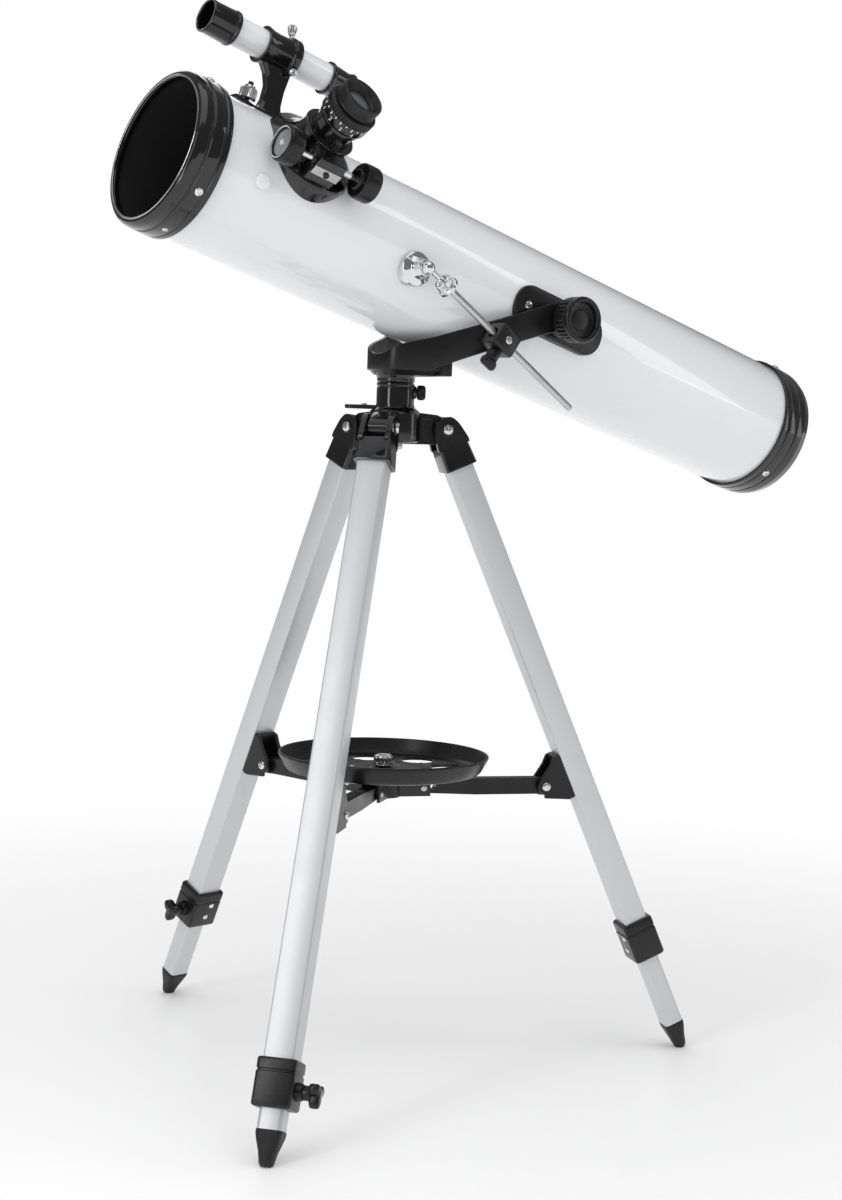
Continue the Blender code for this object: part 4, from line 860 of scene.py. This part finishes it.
# ---------------------------------------------------------------- legs
def leg(n):
    at = leg_frame(n)
    tag = "leg_%d_" % n
    body, lower_body, screw_body = "leg_%d" % n, tag + "lower", tag + "screw"
    w, d = LEG_HALF_W, LEG_HALF_D
    start = CLAMP_START[n]
    ear = softened([(-10, -4), (-7.5, -9), (0, -11), (7.5, -9), (11.5, -2), (14.6, 12), (14.6, 16),
                    (-14.6, 16), (-12.6, 4)], 3)
    opening = slab(-w - 0.3, w + 0.3, -d - 0.3, d + 0.3, 19.7, 50)
    sleeve = lofted([(12.9, 12.5, 3, 13.6), (13.6, 13.2, 3, 14.4), (15, 13.8, 3, 32.6), (15.2, 13.9, 3, 33.2),
                     (15, 13.7, 3, 34)])
    piece(tag + "sleeve", carved(sleeve, [opening]), "gloss", body, at, swaps=[tag + "bracket"], sharp=40)
    for z0, z1, label in ((9, 13.6, "a"), (-13.6, -9, "b")):
        plate = prism(ear, z0, z1)
        room = slab(-d - 0.3, d + 0.3, 19.7, 50, -w - 0.3, w + 0.3)
        piece(tag + "ear_" + label, carved(plate, [room]), "gloss", body, at @ SIDEWAYS, bevel=0.7)
        sign = 1 if z1 > 0 else -1
        bolt_at = at @ aim((13.5 * sign, 0, 0), (sign, 0, 0))
        piece(tag + "pivot_washer_" + label, turned([(0, 0), (5.4, 0), (5.4, 0.7), (5, 1), (0, 1)], 0.2, 40),
              "metal", body, bolt_at)
        screw(tag + "pivot_bolt_" + label, bolt_at @ shift(z=0.9), 4.3, 2.2, body, "chrome",
              turn=25.0 + 30 * sign)
    piece(tag + "pivot_pin", bar(3, -13.2, 13.2, 0.2, 24), "steel", body, at @ aim((0, 0, 0), (1, 0, 0)))
    outer = round_box(w, d, 1.4, 4)
    inner = round_box(w - LEG_WALL, d - LEG_WALL, 0.8, 4)
    piece(tag + "outer_section", hollow(outer, inner, 20, start + 30), "legs", body, at,
          swaps=[tag + "upper"],
          sharp=40)
    lw, ld = w - LEG_WALL - 0.5, d - LEG_WALL - 0.5
    length = LEG_LENGTH
    rails = hollow(round_box(lw, ld, 3.4, 5), round_box(lw - 1.4, ld - 1.4, 2, 5), 300, length - 26)
    piece(tag + "inner_section", rails, "legs", lower_body, at, swaps=[tag + "lower"], sharp=40)
    sole = [(lw + 0.1, ld + 0.1, 3.4, length - 27.8), (lw + 0.3, ld + 0.3, 3.5, length - 27.2),
            (lw + 0.3, ld + 0.3, 3.5, length - 25), (lw - 0.4, ld - 0.4, 3.8, length - 21),
            (7, 6.4, 4.4, length - 12), (6.3, 5.8, 4.6, length - 8), (5.6, 5.2, 4.6, length - 4),
            (4.6, 4.2, 3.8, length - 2.2), (3.7, 3.3, 2.9, length - 1.5)]
    shoe = lofted(sole)
    level = moved(slab(-400, 400, -400, 400, -40, 1.65), at.inverted())
    piece(tag + "rubber_foot", carved(shoe, [level]), "rubber", lower_body, at, swaps=[tag + "foot"],
          sharp=50)
    # height clamp
    cw, cd = w + 3.4, d + 3.4
    shell = lofted([(cw - s, cd - s, 2.8, start + z)
                    for s, z in ((1.2, 0), (0.3, 0.6), (0, 1.6), (0, 8.2), (0.7, 8.8), (0.7, 10), (0, 10.6),
                                 (0, 34), (0.4, 35.2), (1.4, 36))])
    room = [slab(-w - 0.3, w + 0.3, -d - 0.3, d + 0.3, start - 5, start + 31),
            slab(-lw - 0.4, lw + 0.4, -ld - 0.4, ld + 0.4, start + 20, start + 60),
            slab(-lw - 0.8, lw + 0.8, -ld - 0.8, ld + 0.8, start + 33, start + 60)]
    piece(tag + "height_clamp", carved(shell, room), "satin", body, at, swaps=[tag + "clamp"], sharp=40)
    boss_at = at @ aim((0, 0, start + 22), (1, 0, 0), (0, 0, 1))
    piece(tag + "clamp_boss", turned([(2.7, cw - 0.6), (7.2, cw - 0.6), (6.4, cw + 3.8), (5.8, cw + 5),
                                      (2.7, cw + 5)],
                                     0.5, 48), "satin", body, boss_at)
    rivet = [(0, -0.6), (2.6, -0.6), (2.6, 0.3), (1.9, 1), (0, 1.25)]
    for k, z in enumerate((13, 25)):
        rivet_at = at @ aim((-4.0 + 3.0 * k, -cd, start + z), (0, -1, 0))
        piece(tag + "clamp_rivet_%d" % (k + 1), turned(rivet, 0.3, 28), "chrome", body, rivet_at)
    stem = [(0, w + 0.9), (2.5, w + 0.9), (2.5, cw + 5.4), (5.6, cw + 5.4), (5.6, cw + 11), (0, cw + 11)]
    piece(tag + "thumbscrew_stem", turned(stem, 0.4, 32), "satin", screw_body, boss_at,
          swaps=[tag + "thumbscrew"])
    lobes = []
    for k in range(72):
        lobes.append(polar(7.4 + 3.2 * math.cos(math.radians(15 * k)), 5 * k))
    grip = skin([[(x * s, y * s, cw + h) for x, y in lobes]
                 for s, h in ((0.80, 10.2), (0.94, 10.8), (1, 12), (1, 16.2), (0.95, 17.4), (0.82, 18))])
    piece(tag + "thumbscrew_grip", grip, "satin", screw_body, boss_at, sharp=50)
    cap = [(0, cw + 17.6), (3.4, cw + 17.6), (3.2, cw + 18.4), (0, cw + 18.6)]
    piece(tag + "thumbscrew_cap", turned(cap, 0.2, 32), "gloss", screw_body, boss_at)
    # brace bracket on the inner face
    bs, bo = BRACE_AT, -(d + 21)
    nose = arc(bo, bs, 7.5, range(120, 241, 20))
    cheek = [(-d - 0.3, 297), (-d - 0.3, 337), (-d - 6, 337), (-d - 26, 327), *nose, (-d - 12, 303),
             (-d - 6, 297)]
    gap = slab(-d - 50, -d - 4.5, 280, 350, -7.9, 7.9)
    piece(tag + "brace_ears", carved(prism(cheek, -11.5, 11.5), [gap]), "satin", body, at @ SIDEWAYS,
          swaps=[tag + "brace_bracket"], bevel=0.7)
    for sign, label in ((1, "a"), (-1, "b")):
        bolt_at = at @ aim((11.4 * sign, bo, bs), (sign, 0, 0))
        screw(tag + "brace_bolt_" + label, bolt_at, 3.9, 2, body, "chrome", turn=10.0 + 40 * sign)
    # brace
    out = spin(leg_azimuth(n))
    bx = PIVOT_R + bs * math.sin(LEG_LEAN) + bo * math.cos(LEG_LEAN)
    bz = PIVOT_Z - bs * math.cos(LEG_LEAN) + bo * math.sin(LEG_LEAN)
    end = bx - 108.5 - 6.4
    rim = arc(bx, bz, 7, range(-90, 91, 15))
    shape = [*rim, (bx - 62, bz + 7), (end + 3, bz + 5), (end, bz + 3), (end, bz - 3), (end + 3, bz - 5),
             (bx - 62, bz - 7)]
    middle = bx - (100.3 + 108.5) / 2
    eye = [(x + middle, y + bz) for x, y in round_box(7.3, 3, 2.9, 6)]
    channel = slab(bx - 86, bx - 10, bz - 8, bz + 5.2, -4.4, 4.4)
    pivot = moved(bar(2.57, -10, 10, 0, 28), shift(bx, bz, 0))
    piece(tag + "brace_bar", carved(prism(shape, -6, 6), [channel, pivot, prism(eye, -10, 10)]), "satin",
          tag + "brace", out @ UPRIGHT, swaps=[tag + "brace"], bevel=0.5)


# ---------------------------------------------------------------- spreader, tray and knob
def tray():
    plate = [(2.8, 231), (15.5, 231), (15.5, 249.3), (43, 249.3), (43, 252.2), (2.8, 252.2)]
    piece("spreader_disc", turned(plate, 0.5, 96), "satin", "spreader", swaps=["spreader_plate"])
    for n in (1, 2, 3):
        at = spin(leg_azimuth(n))
        for y0, y1, label in ((6.4, 9.2, "a"), (-9.2, -6.4, "b")):
            piece("spreader_cheek_%d%s" % (n, label), slab(12, 40, y0, y1, 231.5, 250), "satin", "spreader",
                  at,
                  bevel=0.5)
            sign = 1 if y0 > 0 else -1
            screw("spreader_pin_%d%s" % (n, label), at @ aim((34, 9.1 * sign, 238.7), (0, sign, 0)), 2.9, 1.4,
                  "spreader", "steel")
        piece("spreader_pin_%d" % n, bar(2, -9, 9, 0.2, 20), "steel", "spreader",
              at @ aim((34, 0, 238.7), (0, 1, 0)))
    r = TRAY_R
    dish = [(2.9, 252.6), (77.6, 252.6), (81.6, 253.6), (83.8, 256), (r - 0.6, 265), (r, 266.4),
            (r - 0.2, 267.6),
            (r - 1.2, 268.2), (r - 2.4, 267.8), (r - 3.2, 265.8), (82, 257.4), (80.2, 255.6), (77.4, 255),
            (47.2, 255), (46.8, 255.35), (45.6, 255.35), (45.2, 255), (35, 255), (34.2, 255.4), (33.4, 256.4),
            (15, 256.4), (14.4, 256), (13, 256), (12.4, 256.4), (2.9, 256.4)]
    holes = []
    for k in range(8):
        holes.append(moved(bar(15.5, 250, 260, 0, 64), shift(*polar(56.5, 22.5 + 45 * k))))
    piece("accessory_tray", carved(turned(dish, 0.5, 160), holes), "satin", "spreader", swaps=["tray"],
          bevel=0.35,
          sharp=36)
    for k in range(3):
        at = shift(*polar(27, leg_azimuth(1) + 60 + 120 * k), 256.3)
        screw("tray_screw_%d" % (k + 1), at, 2.4, 1.1, "spreader", "steel", turn=30.0 * k)
    grip = [(0, 236), (2.5, 236), (2.5, 256.8), (6.8, 256.8), (8.2, 257.8), (8.2, 264.2), (7.4, 265.8),
            (6, 266.4),
            (5.4, 265.6), (0, 265.2)]
    piece("tray_knob_grip", turned(grip, 0.4, 0, 32, 0.4, (258, 264.4)), "chrome", "tray_knob",
          swaps=["tray_knob"])


tripod_head()
fork()
altitude_axis()
optical_tube()
focuser()
finder()
slow_motion()
for leg_number in (1, 2, 3):
    leg(leg_number)
tray()


# ---------------------------------------------------------------- floor, light and camera
ROOM_GLOSS = 0.20                      # strength of the room in reflections
ROOM_FILL = 0.84                       # strength of the room as fill light
FLOOR_FADE = (0.25, 1.3)               # metres from the middle of the floor
LAMPS = (                              # name, place, width and height, power
    ("top", (-0.4, -0.6, 2.9), (2.4, 2.4), 17.0),
    ("left", (-2.5, -0.6, 1.3), (0.5, 2.0), 14.0),
    ("right", (2.2, -1.9, 1.3), (0.5, 2.2), 6.0),
    ("back", (0.9, 2.4, 2.0), (2.0, 1.2), 9.0))


def sweep(name):
    """Pale floor under the object that fades to self-lit plain white further out, measured on the floor."""
    m = bpy.data.materials.new(name)
    m.use_nodes = True
    t = m.node_tree
    b = t.nodes["Principled BSDF"]
    socket(b, "Base Color", (0.96, 0.96, 0.96, 1.0))
    socket(b, "Roughness", 0.28)
    socket(b, "Specular IOR Level", 0.35)
    where = t.nodes.new("ShaderNodeTexCoord")
    reach = t.nodes.new("ShaderNodeVectorMath")
    reach.operation = "LENGTH"
    t.links.new(where.outputs["Object"], reach.inputs[0])
    fade = remap(t, reach.outputs["Value"], *FLOOR_FADE, 0.0, 1.0)
    fade.node.interpolation_type = "SMOOTHSTEP"
    glow = t.nodes.new("ShaderNodeEmission")
    both = t.nodes.new("ShaderNodeMixShader")
    t.links.new(fade, both.inputs["Fac"])
    t.links.new(b.outputs["BSDF"], both.inputs[1])
    t.links.new(glow.outputs["Emission"], both.inputs[2])
    t.links.new(both.outputs["Shader"], t.nodes["Material Output"].inputs["Surface"])
    return m


def studio():
    bpy.ops.mesh.primitive_circle_add(vertices=96, radius=9.0, fill_type="NGON", location=(0, 0, 0))
    floor = bpy.context.active_object
    floor.name = "floor"
    floor.data.materials.append(sweep("studio_floor"))
    world = bpy.data.worlds.new("studio")
    bpy.context.scene.world = world
    world.use_nodes = True
    t = world.node_tree
    sky = t.nodes["Background"]
    sky.inputs["Color"].default_value = (1.0, 1.0, 1.0, 1.0)
    path = t.nodes.new("ShaderNodeLightPath")
    strength = t.nodes.new("ShaderNodeMath")           # plain white, dimmer to gloss and as fill light
    strength.operation = "MULTIPLY"
    for k, (ray, low) in enumerate((("Is Glossy Ray", ROOM_GLOSS), ("Is Diffuse Ray", ROOM_FILL))):
        t.links.new(remap(t, path.outputs[ray], 0.0, 1.0, 1.0, low), strength.inputs[k])
    t.links.new(strength.outputs["Value"], sky.inputs["Strength"])
    bpy.context.scene.view_settings.view_transform = "Standard"
    for name, at, size, power in LAMPS:
        lamp = bpy.data.lights.new(name, "AREA")
        lamp.shape = "RECTANGLE"
        lamp.size, lamp.size_y = size
        lamp.energy = power
        o = bpy.data.objects.new(name, lamp)
        o.location = at
        o.rotation_euler = (Vector((0, 0, 0.45)) - Vector(at)).to_track_quat("-Z", "Y").to_euler()
        bpy.context.scene.collection.objects.link(o)


def camera():
    eye = Vector((-1.14521, -1.48354, 0.53364))
    forward = Vector((0.59865, 0.79733, -0.07662)).normalized()
    level = forward.cross(Vector((0, 0, 1))).normalized()
    up = level.cross(forward)
    roll = 0.0341
    right = level * math.cos(roll) + up * math.sin(roll)
    up = up * math.cos(roll) - level * math.sin(roll)
    m = Matrix((right, up, -forward)).transposed().to_4x4()
    m.translation = eye
    data = bpy.data.cameras.new("camera")
    data.sensor_fit = "VERTICAL"
    data.sensor_height = 36.0
    data.lens = 63.41
    data.clip_start = 0.05
    o = bpy.data.objects.new("camera", data)
    o.matrix_world = m
    bpy.context.scene.collection.objects.link(o)
    bpy.context.scene.camera = o


studio()
camera()
